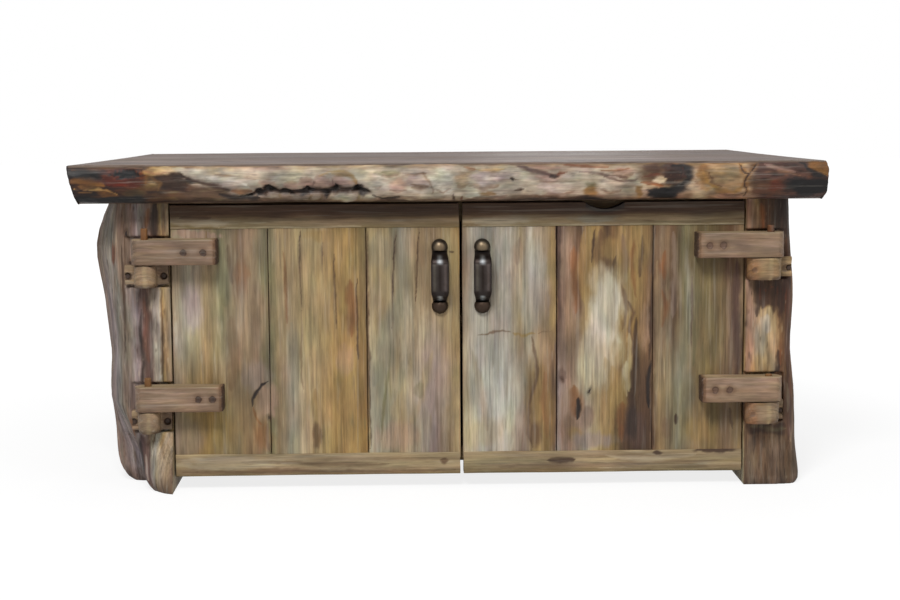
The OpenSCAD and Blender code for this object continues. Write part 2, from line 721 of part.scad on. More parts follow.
stud_r = 2.6;
stud_len = 16;      // how far a dome's stud reaches into the plank
dome_z = [pull_z - pull_len/2 + dome_r, pull_z + pull_len/2 - dome_r];

// Places the children at both domes, +Z pointing into the door.
module at_domes(x) for (z = dome_z) translate([x, plank_y, z]) rotate([-90, 0, 0]) children();

// Domed nut with its stud; the dome rests on the grip's foot and is cut flat
// where the grip begins.
module domes(x) color(bronze) {
    big_r = (dome_r*dome_r + dome_h*dome_h)/(2*dome_h);
    difference() {
        at_domes(x) union() {
            intersection() {
                translate([0, 0, -foot_t - dome_h + big_r]) sphere(r = big_r);
                translate([0, 0, -foot_t - dome_h - 1]) cylinder(r = dome_r, h = dome_h + 1);
            }
            translate([0, 0, -foot_t - 1]) cylinder(r = stud_r, h = foot_t + 1 + stud_len);
        }
        translate([x - dome_r - 1, plank_y - foot_t - dome_h - 1, pull_z - pull_len/2 + dome_len])
            cube([2*dome_r + 2, foot_t + dome_h + 1, pull_len - 2*dome_len]);
    }
}
module left_pull_domes() domes(left_pull_x);
module right_pull_domes() domes(right_pull_x);

// Arched grip between the domes, as its side view seen from +X: first the
// outer line from the lower foot to the upper one, then the inner line back.
module grip_side() {
    half = pull_len/2;
    rise = half - dome_len - 0.5;   // where the arch leaves the feet
    outer = smooth([
        [-rise, foot_t], [-rise + 3, grip_out*0.5], [-rise + 9, grip_out*0.88],
        [-rise + 18, grip_out - 1], [0, grip_out], [rise - 18, grip_out - 1],
        [rise - 9, grip_out*0.88], [rise - 3, grip_out*0.5], [rise, foot_t]
    ], 4);
    in = grip_out - grip_t;
    inner = smooth([
        [rise - grip_t, 0], [rise - grip_t - 4, in*0.5], [rise - grip_t - 9, in*0.86],
        [rise - grip_t - 17, in - 0.5], [0, in], [-rise + grip_t + 17, in - 0.5],
        [-rise + grip_t + 9, in*0.86], [-rise + grip_t + 4, in*0.5], [-rise + grip_t, 0]
    ], 4);
    end = half - dome_r*0.5;
    polygon(concat(
        [[-end, 0], [-end, foot_t]], outer, [[end, foot_t], [end, 0]], inner
    ));
}

// Front view of the grip: wide in the middle, drawn in at both necks.
module grip_front() {
    half = pull_len/2;
    w = grip_w/2;
    neck = min(w - 1, 12.5);
    side = smooth([
        [neck - 1, -half + dome_r*0.5], [neck, -half + dome_len], [neck + 1, -half + dome_len + 6],
        [w, -half + dome_len + 16], [w, 0], [w, half - dome_len - 16],
        [neck + 1, half - dome_len - 6], [neck, half - dome_len], [neck - 1, half - dome_r*0.5]
    ], 4);
    n = len(side);
    polygon(concat(side, [for (i = [n - 1:-1:0]) [-side[i][0], side[i][1]]]));
}

module grip(x) color(bronze) difference() {
    translate([x, plank_y, pull_z]) intersection() {
        // side view: its first axis runs up, its second out of the door
        rotate([90, 0, -90]) rotate([0, 0, 90]) mirror([0, 1, 0])
            translate([0, 0, -grip_w]) linear_extrude(2*grip_w) grip_side();
        rotate([90, 0, 0]) translate([0, 0, -1]) linear_extrude(grip_out + 2) grip_front();
        translate([0, -grip_out + 1.1*grip_w, -pull_len]) cylinder(r = 1.1*grip_w, h = 2*pull_len);
    }
    at_domes(x) translate([0, 0, -foot_t - 1]) cylinder(r = stud_r, h = foot_t + 2);
}
module left_pull_grip() grip(left_pull_x);
module right_pull_grip() grip(right_pull_x);

// ---------------------------------------------------------------- assembly

top_slab();
left_side_slab();
right_side_slab();
bottom_board_front();
bottom_board_middle();
bottom_board_back();
shelf_board_front();
shelf_board_back();
back_board_1();
back_board_2();
back_board_3();
back_board_4();
back_board_5();
front_top_rail();
back_top_rail();
left_top_cleat();
right_top_cleat();
cleat_screws();
back_nails();
left_upper_knuckle();
left_lower_knuckle();
right_upper_knuckle();
right_lower_knuckle();
left_upper_pin();
left_lower_pin();
right_upper_pin();
right_lower_pin();
knuckle_screws();
left_catch();
right_catch();
left_door_plank_outer();
left_door_plank_middle();
left_door_plank_inner();
left_door_top_rail();
left_door_bottom_rail();
left_upper_strap();
left_lower_strap();
left_strap_screws();
left_pull_grip();
left_pull_domes();
left_strike();
right_door_plank_inner();
right_door_plank_middle();
right_door_plank_outer();
right_door_top_rail();
right_door_bottom_rail();
right_upper_strap();
right_lower_strap();
right_strap_screws();
right_pull_grip();
right_pull_domes();
right_strike();
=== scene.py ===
"""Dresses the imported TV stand: a live-edge slab on two split logs, with two plank
doors on carved wooden hinges and cast bronze pulls. Lengths in the paint calls are
millimetres in the part's own frame; meshes are in metres."""

import json
import math

import bmesh
import bpy
import numpy as np
from mathutils import Matrix, Vector

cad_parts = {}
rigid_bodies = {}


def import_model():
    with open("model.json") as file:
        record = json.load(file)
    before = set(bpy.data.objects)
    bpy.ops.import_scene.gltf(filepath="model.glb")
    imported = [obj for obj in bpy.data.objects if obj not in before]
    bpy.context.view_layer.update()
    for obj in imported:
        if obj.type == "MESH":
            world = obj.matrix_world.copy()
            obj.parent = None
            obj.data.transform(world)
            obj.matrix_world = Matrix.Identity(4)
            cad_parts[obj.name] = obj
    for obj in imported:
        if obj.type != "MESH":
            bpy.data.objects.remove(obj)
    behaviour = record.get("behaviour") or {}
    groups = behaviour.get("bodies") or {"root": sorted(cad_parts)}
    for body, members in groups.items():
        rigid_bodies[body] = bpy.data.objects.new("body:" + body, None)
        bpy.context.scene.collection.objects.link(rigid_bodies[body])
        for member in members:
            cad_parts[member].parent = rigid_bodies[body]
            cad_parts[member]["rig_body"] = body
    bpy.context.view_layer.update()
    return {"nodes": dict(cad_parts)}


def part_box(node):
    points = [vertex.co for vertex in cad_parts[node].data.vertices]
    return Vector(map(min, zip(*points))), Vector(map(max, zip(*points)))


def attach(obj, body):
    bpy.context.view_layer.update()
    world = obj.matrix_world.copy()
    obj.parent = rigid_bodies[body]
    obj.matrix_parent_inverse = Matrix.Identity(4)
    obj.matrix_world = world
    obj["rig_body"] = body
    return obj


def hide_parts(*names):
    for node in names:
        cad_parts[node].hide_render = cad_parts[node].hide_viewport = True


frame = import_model()
MM = 0.001

# ------------------------------------------------------------------ palette

TONES = {
    "coal": (32, 23, 19), "umber": (57, 39, 28), "bark": (92, 68, 48),
    "burnt": (52, 31, 18), "pewter": (86, 77, 67), "silver": (172, 180, 184),
    "ember": (100, 51, 29), "rust": (122, 78, 47), "plum": (84, 62, 54),
    "clay": (126, 103, 83), "rose": (156, 129, 112), "tan": (143, 122, 93),
    "straw": (158, 139, 104), "honey": (150, 123, 78), "ochre": (128, 98, 57),
    "olive": (116, 100, 68), "moss": (108, 102, 76), "mist": (133, 128, 112),
    "ash": (162, 153, 135), "bone": (182, 170, 145), "cream": (198, 190, 172),
    "lilac": (144, 128, 122),
}


def linear(rgb):
    c = np.clip(np.asarray(rgb, float) / 255, 0, 1)
    return np.where(c <= 0.04045, c / 12.92, ((c + 0.055) / 1.055) ** 2.4)


def tone(name):
    return np.array(TONES[name], float)


# -------------------------------------------------------------------- noise


def cells(u, v, seed):
    """Smooth noise from 0 to 1 over a plane, one cell to the unit."""
    i, j = np.floor(u), np.floor(v)
    fu, fv = u - i, v - j
    fu, fv = fu * fu * (3 - 2 * fu), fv * fv * (3 - 2 * fv)
    i, j = i.astype(np.int64), j.astype(np.int64)

    def corner(a, b):
        h = (a * 73856093) ^ (b * 19349663) ^ (seed * 83492791)
        h = ((h ^ (h >> 13)) * 1274126177) & 0x7FFFFFFF
        return ((h ^ (h >> 16)) & 0xFFFF) / 65535

    low = corner(i, j) * (1 - fu) + corner(i + 1, j) * fu
    high = corner(i, j + 1) * (1 - fu) + corner(i + 1, j + 1) * fu
    return low * (1 - fv) + high * fv


def fractal(u, v, seed, octaves=4):
    """Noise of several sizes, from -1 to 1."""
    total = np.zeros_like(u)
    for k in range(octaves):
        total += (cells(u * 2**k, v * 2**k, seed + 31 * k) * 2 - 1) * 0.5**k
    return total / (2 - 0.5 ** (octaves - 1))


def ramp(x, a, b):
    """0 below a and 1 above b, smooth in between; a may be the larger one."""
    s = np.clip((x - a) / (b - a), 0, 1)
    return s * s * (3 - 2 * s)


# -------------------------------------------------------------------- paint


class Paint:
    """Colours and relief on a wooden surface, laid out flat as x and z."""

    def __init__(self, x, z, along, seed, sway=4.0):
        self.x0, self.z0, self.along, self.seed = x, z, along, seed
        bend = sway * (self.noise(42, 1, 4) + 0.6 * self.noise(14, 2, 3) + 0.3 * self.noise(5, 4, 2))
        slip = sway * (1.6 * self.noise(50, 5, 2) + 0.9 * self.noise(12, 6, 2))
        self.x = x + (bend if along == "z" else slip)
        self.z = z + (bend if along == "x" else slip)
        self.rgb = np.zeros((len(x), 3)) + tone("tan")
        self.lift = np.zeros(len(x))

    def noise(self, size, seed=0, longer=4.0, octaves=4):
        """Noise with cells of that size across the grain and longer along it."""
        su, sv = (size, size * longer) if self.along == "z" else (size * longer, size)
        return fractal(self.x0 / su, self.z0 / sv, self.seed * 17 + seed, octaves)

    def lay(self, mask, colour, lift=0.0):
        """A tone and a relief in mm, as strong as the mask says."""
        mask = np.clip(mask, 0, 1)
        if colour:
            self.rgb += (tone(colour) - self.rgb) * mask[:, None]
        self.lift += lift * mask

    def fill(self, high, low=None, at=(450, 120)):
        """Colour by place across the grain, from high at at[0] to low at at[1]."""
        across, down = (self.x, self.z) if self.along == "z" else (self.z, self.x)

        def row(stops):
            keys = sorted(stops)
            cols = np.array([tone(stops[k]) for k in keys])
            return np.stack([np.interp(across, keys, cols[:, i]) for i in range(3)], 1)

        self.rgb = row(high)
        if low:
            s = ramp(down + 60 * self.noise(30, 9, 3), at[0], at[1])[:, None]
            self.rgb = self.rgb * (1 - s) + row(low) * s

    def reach(self, x, z, rx, rz, turn):
        """Distance from a point, as a share of an oval's radii."""
        c, s = math.cos(math.radians(turn)), math.sin(math.radians(turn))
        dx, dz = self.x - x, self.z - z
        return np.hypot((dx * c + dz * s) / rx, (dz * c - dx * s) / rz)

    def blot(self, x, z, rx, rz, colour, k=1.0, soft=0.7, turn=0.0, lift=0.0, rough=0.45):
        """Soft patch with a ragged edge."""
        ragged = rough * self.noise(min(rx, rz) * 0.6, int(x) % 97, 2.5, 5)
        d = self.reach(x, z, rx, rz, turn) + ragged
        self.lay(k * ramp(d, 1 + soft / 2, 1 - soft / 2), colour, lift)

    def line(self, points, w, colour, k=1.0, soft=0.8, lift=0.0):
        """Stroke along the points, w wide in the middle and thin at its ends."""
        pts = np.array(points, float)
        seg = np.diff(pts, axis=0)
        length = np.hypot(seg[:, 0], seg[:, 1])
        start = np.concatenate([[0], np.cumsum(length)[:-1]])
        best, place = np.full(len(self.x), 1e9), np.zeros(len(self.x))
        for p, s, n, o in zip(pts[:-1], seg, length, start):
            t = ((self.x - p[0]) * s[0] + (self.z - p[1]) * s[1]) / (n * n)
            t = np.clip(t, 0, 1)
            d = np.hypot(self.x - p[0] - t * s[0], self.z - p[1] - t * s[1])
            near = d < best
            best, place = np.where(near, d, best), np.where(near, o + t * n, place)
        share = place / length.sum()
        wide = w * np.sqrt(np.clip(4 * share * (1 - share), 0.04, 1))
        wide = wide * (1 + 0.5 * self.noise(12, int(w * 7), 2))
        ragged = 0.22 * self.noise(3 + 0.3 * w, int(w * 5) + 1, 2.5)
        self.lay(k * ramp(best / wide + ragged, 0.5 + soft, 0.5 - soft / 2), colour, lift)

    def knot(self, x, z, rx, rz, turn=0.0, ring="bark", heart="coal"):
        """Rings round a dark heart."""
        d = self.reach(x, z, rx, rz, turn) + 0.12 * self.noise(5, int(z) % 89, 1.5)
        self.lay(0.5 * ramp(d, 1.7, 0.9), ring)
        self.lay(0.35 * ramp(d, 1.4, 0.8) * (0.5 + 0.5 * np.sin(d * 16)), "umber")
        self.lay(0.95 * ramp(d, 0.75, 0.35), heart, lift=-0.5)

    def veins(self, colour, size, longer, share, k, seed=3, where=1.0, lift=0.0):
        """Streaks along the grain, over that share of the surface."""
        n = self.noise(size, seed, longer, 3)
        edge = 0.75 - 1.5 * share
        self.lay(k * ramp(n, edge, edge + 0.45) * where, colour, lift)

    def zone(self, x0, x1, z0, z1, soft=12):
        """Mask of a ragged rectangle."""
        edge = 0.8 * soft * self.noise(16, 71, 2)
        x, z = self.x + edge, self.z + 0.6 * edge
        across = ramp(x, x0 - soft, x0 + soft) * ramp(x, x1 + soft, x1 - soft)
        return across * ramp(z, z0 - soft / 2, z0 + soft / 2) * ramp(z, z1 + soft / 2, z1 - soft / 2)

    def wash(self, x0, x1, z0, z1, colour, k, soft=12):
        """One tone over a ragged rectangle."""
        self.lay(k * self.zone(x0, x1, z0, z1, soft), colour)

    def mottle(self, size, amount, longer=2.0, hue=0.16):
        """Broad uneven shade, with a drift of hue."""
        self.rgb *= (1 + amount * self.noise(size, 91, longer, 3))[:, None]
        drift = np.stack([self.noise(size * 0.8, 92, longer, 2),
                          self.noise(size * 1.1, 93, longer, 2) * 0.6,
                          self.noise(size * 0.9, 94, longer, 2) * 1.2], 1)
        self.rgb *= 1 + hue * amount * (drift - drift.mean(1, keepdims=True))

    def tint(self, red, green, blue, share=1.0):
        """Another shade of the same wood, over a share of the surface."""
        share = np.clip(share * np.ones(len(self.x)), 0, 1)[:, None]
        self.rgb *= 1 + (np.array([red, green, blue]) - 1) * share

    def blend(self, rgb, share):
        """Other tones over a share of the surface."""
        self.rgb = self.rgb * (1 - share)[:, None] + rgb * share[:, None]

    def punch(self, amount, around, share):
        """More contrast on both sides of that tone, over a share of the surface."""
        share = np.clip(share, 0, 1)[:, None]
        self.rgb += (amount - 1) * (self.rgb - np.array(around, float)) * share

    def grain(self, amount=0.10, size=5.0, longer=22.0):
        """Fine light and dark lines, which are relief too."""
        fine = self.noise(size, 21, longer, 3) + 0.6 * self.noise(size * 3.5, 22, longer / 2, 3)
        lines = ramp(self.noise(size * 0.8, 23, longer * 1.3, 2), 0.42, 0.75)
        self.rgb *= (1 + amount * 1.5 * fine - 1.6 * amount * lines)[:, None]
        drift = self.noise(size * 5, 24, 3)[:, None] * np.array([-0.4, 0.1, 1.0])
        self.rgb *= 1 + 0.25 * amount * drift
        self.lift += 0.14 * fine - 0.12 * lines

    def crack(self, points, w=1.6, k=0.9, depth=1.1):
        """Dark hairline with a soft halo."""
        self.line(points, w * 3.2, "bark", 0.4 * k, 0.9)
        self.line(points, w, "umber", k, 0.7, -depth)


# ------------------------------------------------------------------- meshes


def lattice(xs, ys, zs):
    """The surface of a box of grid points: their places and the closed quads."""
    n = (len(xs), len(ys), len(zs))
    on = np.zeros(n, bool)
    on[[0, -1], :, :] = on[:, [0, -1], :] = on[:, :, [0, -1]] = True
    number = np.full(n, -1)
    number[on] = np.arange(on.sum())
    quads = []
    for axis in range(3):
        for end in (0, -1):
            g = np.take(number, end, axis)
            q = np.stack([g[:-1, :-1], g[1:, :-1], g[1:, 1:], g[:-1, 1:]], -1).reshape(-1, 4)
            flip = (end == 0) == (axis != 1)
            quads += (q[:, ::-1] if flip else q).tolist()
    i, j, k = np.nonzero(on)
    return np.stack([np.array(xs)[i], np.array(ys)[j], np.array(zs)[k]], 1), quads


def steps(lo, hi, step, edge):
    """Places from lo to hi, with more of them at both ends for a rounded edge."""
    n = max(2, round((hi - lo - 2 * edge) / step))
    inside = np.linspace(lo + edge, hi - edge, n + 1)
    return np.concatenate([[lo, lo + edge * 0.35], inside, [hi - edge * 0.35, hi]])


def round_off(co, lo, hi, r):
    """Rounds a box's edges to radius r."""
    core = np.clip(co, lo + r, hi - r)
    v = co - core
    size = np.linalg.norm(v, axis=1)
    most = np.abs(v).max(1)
    return core + v * (most / np.maximum(size, 1e-9))[:, None]


def link(name, data):
    obj = bpy.data.objects.new(name, data)
    bpy.context.scene.collection.objects.link(obj)
    return obj


def smooth_object(name, data):
    data.polygons.foreach_set("use_smooth", np.ones(len(data.polygons), bool))
    return link(name, data)


def mesh_object(name, co, faces):
    data = bpy.data.meshes.new(name)
    data.from_pydata(co.tolist(), [], faces)
    return smooth_object(name, data)


def welded(node):
    """A CAD node's mesh with its faces joined at their edges."""
    bm = bmesh.new()
    bm.from_mesh(frame["nodes"][node].data)
    bmesh.ops.remove_doubles(bm, verts=bm.verts, dist=1e-6)
    return bm


def bm_object(name, bm):
    data = bpy.data.meshes.new(name)
    bm.to_mesh(data)
    bm.free()
    return link(name, data)


PLUG_R, PLUG_DEPTH = 5.6 * MM, 7 * MM
# how fine each kind of part is made, in mm, and in how many rounds its edges are worn
WORN = {"strap": (1.25, 7), "knuckle": (1.2, 6), "pin": (0.8, 3), "slab": (2.0, 5), "domes": (0.6, 2)}


def remade(node, name, plugs=()):
    """A fine, even copy of a CAD node's skin, with its edges worn round. Plugs are
    wooden discs set over sunk screws, their faces at the places given in mm."""
    voxel, rounds = WORN[node.split("_")[-1]]
    bm = welded(node)
    for place in plugs:
        middle = Vector(place) * MM + Vector((0, PLUG_DEPTH / 2, 0))
        set_in = Matrix.Translation(middle) @ Matrix.Rotation(math.pi / 2, 4, "X")
        bmesh.ops.create_cone(bm, cap_ends=True, segments=24, radius1=PLUG_R, radius2=PLUG_R,
                              depth=PLUG_DEPTH, matrix=set_in)
    temp = bm_object(name + "_source", bm)
    remesh = temp.modifiers.new("remesh", "REMESH")
    remesh.mode, remesh.voxel_size, remesh.adaptivity = "VOXEL", voxel * MM, 0.0
    smooth = temp.modifiers.new("relax", "SMOOTH")
    smooth.factor, smooth.iterations = 0.5, rounds
    made = bpy.data.meshes.new_from_object(
        temp.evaluated_get(bpy.context.evaluated_depsgraph_get()))
    bpy.data.objects.remove(temp)
    made.name = name
    return smooth_object(name, made)


def box_mm(node):
    return [np.array(corner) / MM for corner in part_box(node)]


def settle(obj, node, material):
    """Puts a finished piece in the place of its CAD node."""
    obj.data.materials.clear()
    obj.data.materials.append(material)
    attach(obj, frame["nodes"][node].get("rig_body"))
    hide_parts(node)


class Piece:
    """A new mesh for a CAD node, with its vertices and the node's box at hand, in mm."""

    def __init__(self, node, obj, box=None):
        self.node, self.obj = node, obj
        self.lo, self.hi = box or box_mm(node)
        count = len(obj.data.vertices)
        flat = np.zeros(count * 3, np.float32)
        obj.data.vertices.foreach_get("co", flat)
        self.co = flat.reshape(-1, 3).astype(float)
        obj.data.vertex_normals.foreach_get("vector", flat)
        self.facing = flat.reshape(-1, 3).astype(float)
        self.x, self.y, self.z = (self.co / MM).T

    def finish(self, paint, slot, material):
        """Moves the vertices by the paint's relief, inside the box, and stores its tones."""
        moved = self.co + self.facing * (paint.lift * MM)[:, None]
        moved = np.clip(moved, self.lo * MM, self.hi * MM)
        data = self.obj.data
        data.vertices.foreach_set("co", moved.astype(np.float32).ravel())
        rgba = np.ones((len(moved), 4), np.float32)
        rgba[:, :3] = linear(paint.rgb)
        tones = data.color_attributes.new("tone", "FLOAT_COLOR", "POINT")
        tones.data.foreach_set("color", rgba.ravel())
        data.update()
        settle(self.obj, self.node, material)


# ---------------------------------------------------------------- materials


class Tree:
    """Short calls for making the nodes of a material or the world."""

    def __init__(self, owner, shader="Principled BSDF"):
        owner.use_nodes = True
        self.owner, self.tree = owner, owner.node_tree
        self.shader = self.tree.nodes[shader]

    def node(self, kind, settings=None, **inputs):
        made = self.tree.nodes.new("ShaderNode" + kind)
        for key, value in (settings or {}).items():
            setattr(made, key, value)
        for key, value in inputs.items():
            self.feed(made, key.replace("_", " "), value)
        return made

    def feed(self, node, key, value):
        """Links or sets an input, by its name or, as i0, i1 and so on, by its number."""
        socket = node.inputs[int(key[1:]) if key[1:].isdigit() else key]
        if isinstance(value, bpy.types.NodeSocket):
            self.tree.links.new(value, socket)
        else:
            socket.default_value = value

    def math(self, operation, a, b):
        return self.node("Math", {"operation": operation}, i0=a, i1=b).outputs[0]

    def mix(self, kind, factor, a, b):
        made = self.node("Mix", {"data_type": "RGBA", "blend_type": kind}, i0=factor, i6=a, i7=b)
        return made.outputs[2]

    def tone(self):
        """The painted tone of each vertex."""
        return self.node("Attribute", {"attribute_name": "tone"}).outputs["Color"]

    def span(self, value, low, high, a=0.0, b=1.0):
        return self.node("MapRange", None, Value=value, From_Min=low, From_Max=high,
                         To_Min=a, To_Max=b).outputs[0]

    def noise(self, place, scale, detail=3.0, rough=0.55, distortion=0.0):
        return self.node("TexNoise", None, Vector=place, Scale=scale, Detail=detail,
                         Roughness=rough, Distortion=distortion).outputs["Fac"]

    def stretched(self, along, ratio):
        """Object coordinates, drawn out along the grain."""
        place = self.node("TexCoord").outputs["Object"]
        scale = [1.0, 1.0, 1.0]
        scale["xyz".index(along)] = ratio
        return self.node("Mapping", None, Vector=place, Scale=scale).outputs[0]


def wood(name, along, tones=None, rough=0.62, grain=0.2, bump=0.4):
    """Wood with its grain along one axis. Painted pieces bring their own tones;
    the rest take two, named in tones."""
    t = Tree(bpy.data.materials.new(name))
    long, longer = t.stretched(along, 0.05), t.stretched(along, 0.11)
    fibre = t.noise(long, 380, 5, 0.66, 0.3)
    pore = t.noise(long, 1150, 2, 0.5)
    streak = t.noise(t.stretched(along, 0.035), 130, 4, 0.62, 0.5)
    broad = t.noise(longer, 48, 4, 0.65, 0.8)
    if tones:
        light, dark = ((*linear(TONES[n]), 1.0) for n in tones)
        board = t.noise(longer, 22, 4, 0.6, 1.6)
        base = t.mix("MIX", t.span(board, 0.32, 0.68), dark, light)
        rings = t.noise(longer, 95, 3, 0.65, 2.2)
        base = t.mix("MULTIPLY", t.span(rings, 0.42, 0.62, 0.55, 0.0), base, (0.55, 0.46, 0.38, 1))
    else:
        base = t.tone()
    shade = t.math("ADD", t.span(fibre, 0.25, 0.75, 1 - 1.5 * grain, 1 + 1.5 * grain),
                   t.span(broad, 0.3, 0.7, -grain * 0.5, grain * 0.5))
    shade = t.math("MULTIPLY", shade, t.span(pore, 0.30, 0.40, 0.82, 1.0))
    grey = t.node("CombineColor", None, Red=shade, Green=shade, Blue=shade).outputs[0]
    base = t.mix("MULTIPLY", 1.0, base, grey)
    # dark growth lines and paler, drier wood between them
    growth = t.span(streak, 0.52, 0.68, 0.0, 3.75 * grain)
    base = t.mix("MULTIPLY", growth, base, (0.62, 0.53, 0.42, 1))
    base = t.mix("SCREEN", t.span(streak, 0.44, 0.32, 0.0, 0.10), base, (0.60, 0.56, 0.48, 1))
    t.feed(t.shader, "Base Color", base)
    t.feed(t.shader, "Roughness", t.span(fibre, 0.3, 0.7, rough + 0.1, rough - 0.08))
    t.feed(t.shader, "Specular IOR Level", 0.32)
    height = t.math("ADD", t.math("MULTIPLY", fibre, 0.6), t.math("MULTIPLY", pore, 0.4))
    height = t.math("SUBTRACT", height, t.span(streak, 0.5, 0.7, 0.0, 0.5))
    relief = t.node("Bump", None, Strength=bump, Distance=0.0011, Height=height)
    t.feed(t.shader, "Normal", relief.outputs[0])
    return t.owner


def metal(name, rough, metallic, scale, tones=None):
    """Cast or forged metal with a faint patina. Painted pieces bring their own tones;
    the rest take two."""
    t = Tree(bpy.data.materials.new(name))
    place = t.node("TexCoord").outputs["Object"]
    patina = t.noise(place, scale, 4, 0.6, 0.4)
    pitting = t.noise(place, scale * 14, 3, 0.6)
    if tones:
        dark, bright = ((*linear(c), 1.0) for c in tones)
        base = t.mix("MIX", t.span(patina, 0.4, 0.7), dark, bright)
    else:
        dull = t.span(patina, 0.55, 0.42, 0.0, 0.5)
        base = t.mix("MULTIPLY", dull, t.tone(), (0.72, 0.66, 0.60, 1))
    t.feed(t.shader, "Base Color", base)
    t.feed(t.shader, "Metallic", metallic)
    t.feed(t.shader, "Roughness", t.span(patina, 0.3, 0.7, rough - 0.06, rough + 0.10))
    bump = t.node("Bump", None, Strength=0.2, Distance=0.0003,
                  Height=t.math("ADD", patina, t.math("MULTIPLY", pitting, 0.4)))
    t.feed(t.shader, "Normal", bump.outputs[0])
    return t.owner


SLAB = wood("slab_paint", "x", rough=0.55, grain=0.13)
LOG = wood("log_paint", "z", rough=0.68, grain=0.17)
PLANK = wood("plank_paint", "z", rough=0.66, grain=0.13)
RAIL = wood("rail_paint", "x", rough=0.66, grain=0.15)
HINGE = wood("hinge_paint", "x", rough=0.6, grain=0.12)
INNER_X = wood("inner_board", "x", ("straw", "clay"), 0.74, 0.14)
INNER_Z = wood("inner_back", "z", ("tan", "bark"), 0.78, 0.14)
DOWEL = wood("dowel", "z", ("ochre", "rust"), 0.6, 0.12)
DARK_DOWEL = wood("dark_dowel", "z", ("rust", "umber"), 0.6, 0.12)
BRONZE = metal("antique_bronze", 0.40, 0.8, 60)
STEEL = metal("aged_steel", 0.6, 0.5, 140, ((52, 40, 34), (84, 66, 55)))

# -------------------------------------------------------------------- slab

SLAB_LO, SLAB_HI = box_mm("top_slab")
# how far the slab's faces run in, in mm, as in the CAD: LIP (the front) and END_BOW by
# share of the height, both ends by share of the depth
LIP = {0.0: 26, 0.03: 17, 0.15: 8, 0.34: 3, 0.55: 0, 0.80: 0, 0.95: 3, 0.985: 6, 1.0: 9}
LEFT_END = {0: 0, 0.10: 12, 0.30: 31, 0.60: 56, 1: 83}
RIGHT_END = {0: 0, 0.10: 14, 0.30: 34, 0.60: 60, 1: 87}
END_BOW = {0: 5, 0.2: 1.5, 0.4: 0, 0.8: 0, 1: 3}
UNDERCUT = 16


def read(stops, at):
    keys = sorted(stops)
    return np.interp(at, keys, [stops[k] for k in keys])


def edge_wave(t):
    """The wave of the live edge, in mm, from the left end at 0 to the right end at 1."""
    r = np.radians
    return 3.2 * np.sin(r(620 * t + 40)) + 2.1 * np.sin(r(1430 * t)) + 1.2 * np.sin(r(2700 * t + 80))


def slab_shape(unit):
    """Unit cube to slab: waved live edge in front, sawn ends that run in."""
    t, d, h = unit.T
    wave = edge_wave(t) - edge_wave(np.linspace(0, 1, 65)).min()
    left = SLAB_LO[0] + read(LEFT_END, d) + UNDERCUT * (1 - h)
    right = SLAB_HI[0] - read(RIGHT_END, d) - read(END_BOW, h)
    x = left + (right - left) * t
    y = SLAB_LO[1] + d * (SLAB_HI[1] - SLAB_LO[1]) + (1 - d) * (read(LIP, h) + wave)
    z = SLAB_LO[2] + h * (SLAB_HI[2] - SLAB_LO[2])
    return np.stack([x, y, z], 1) * MM


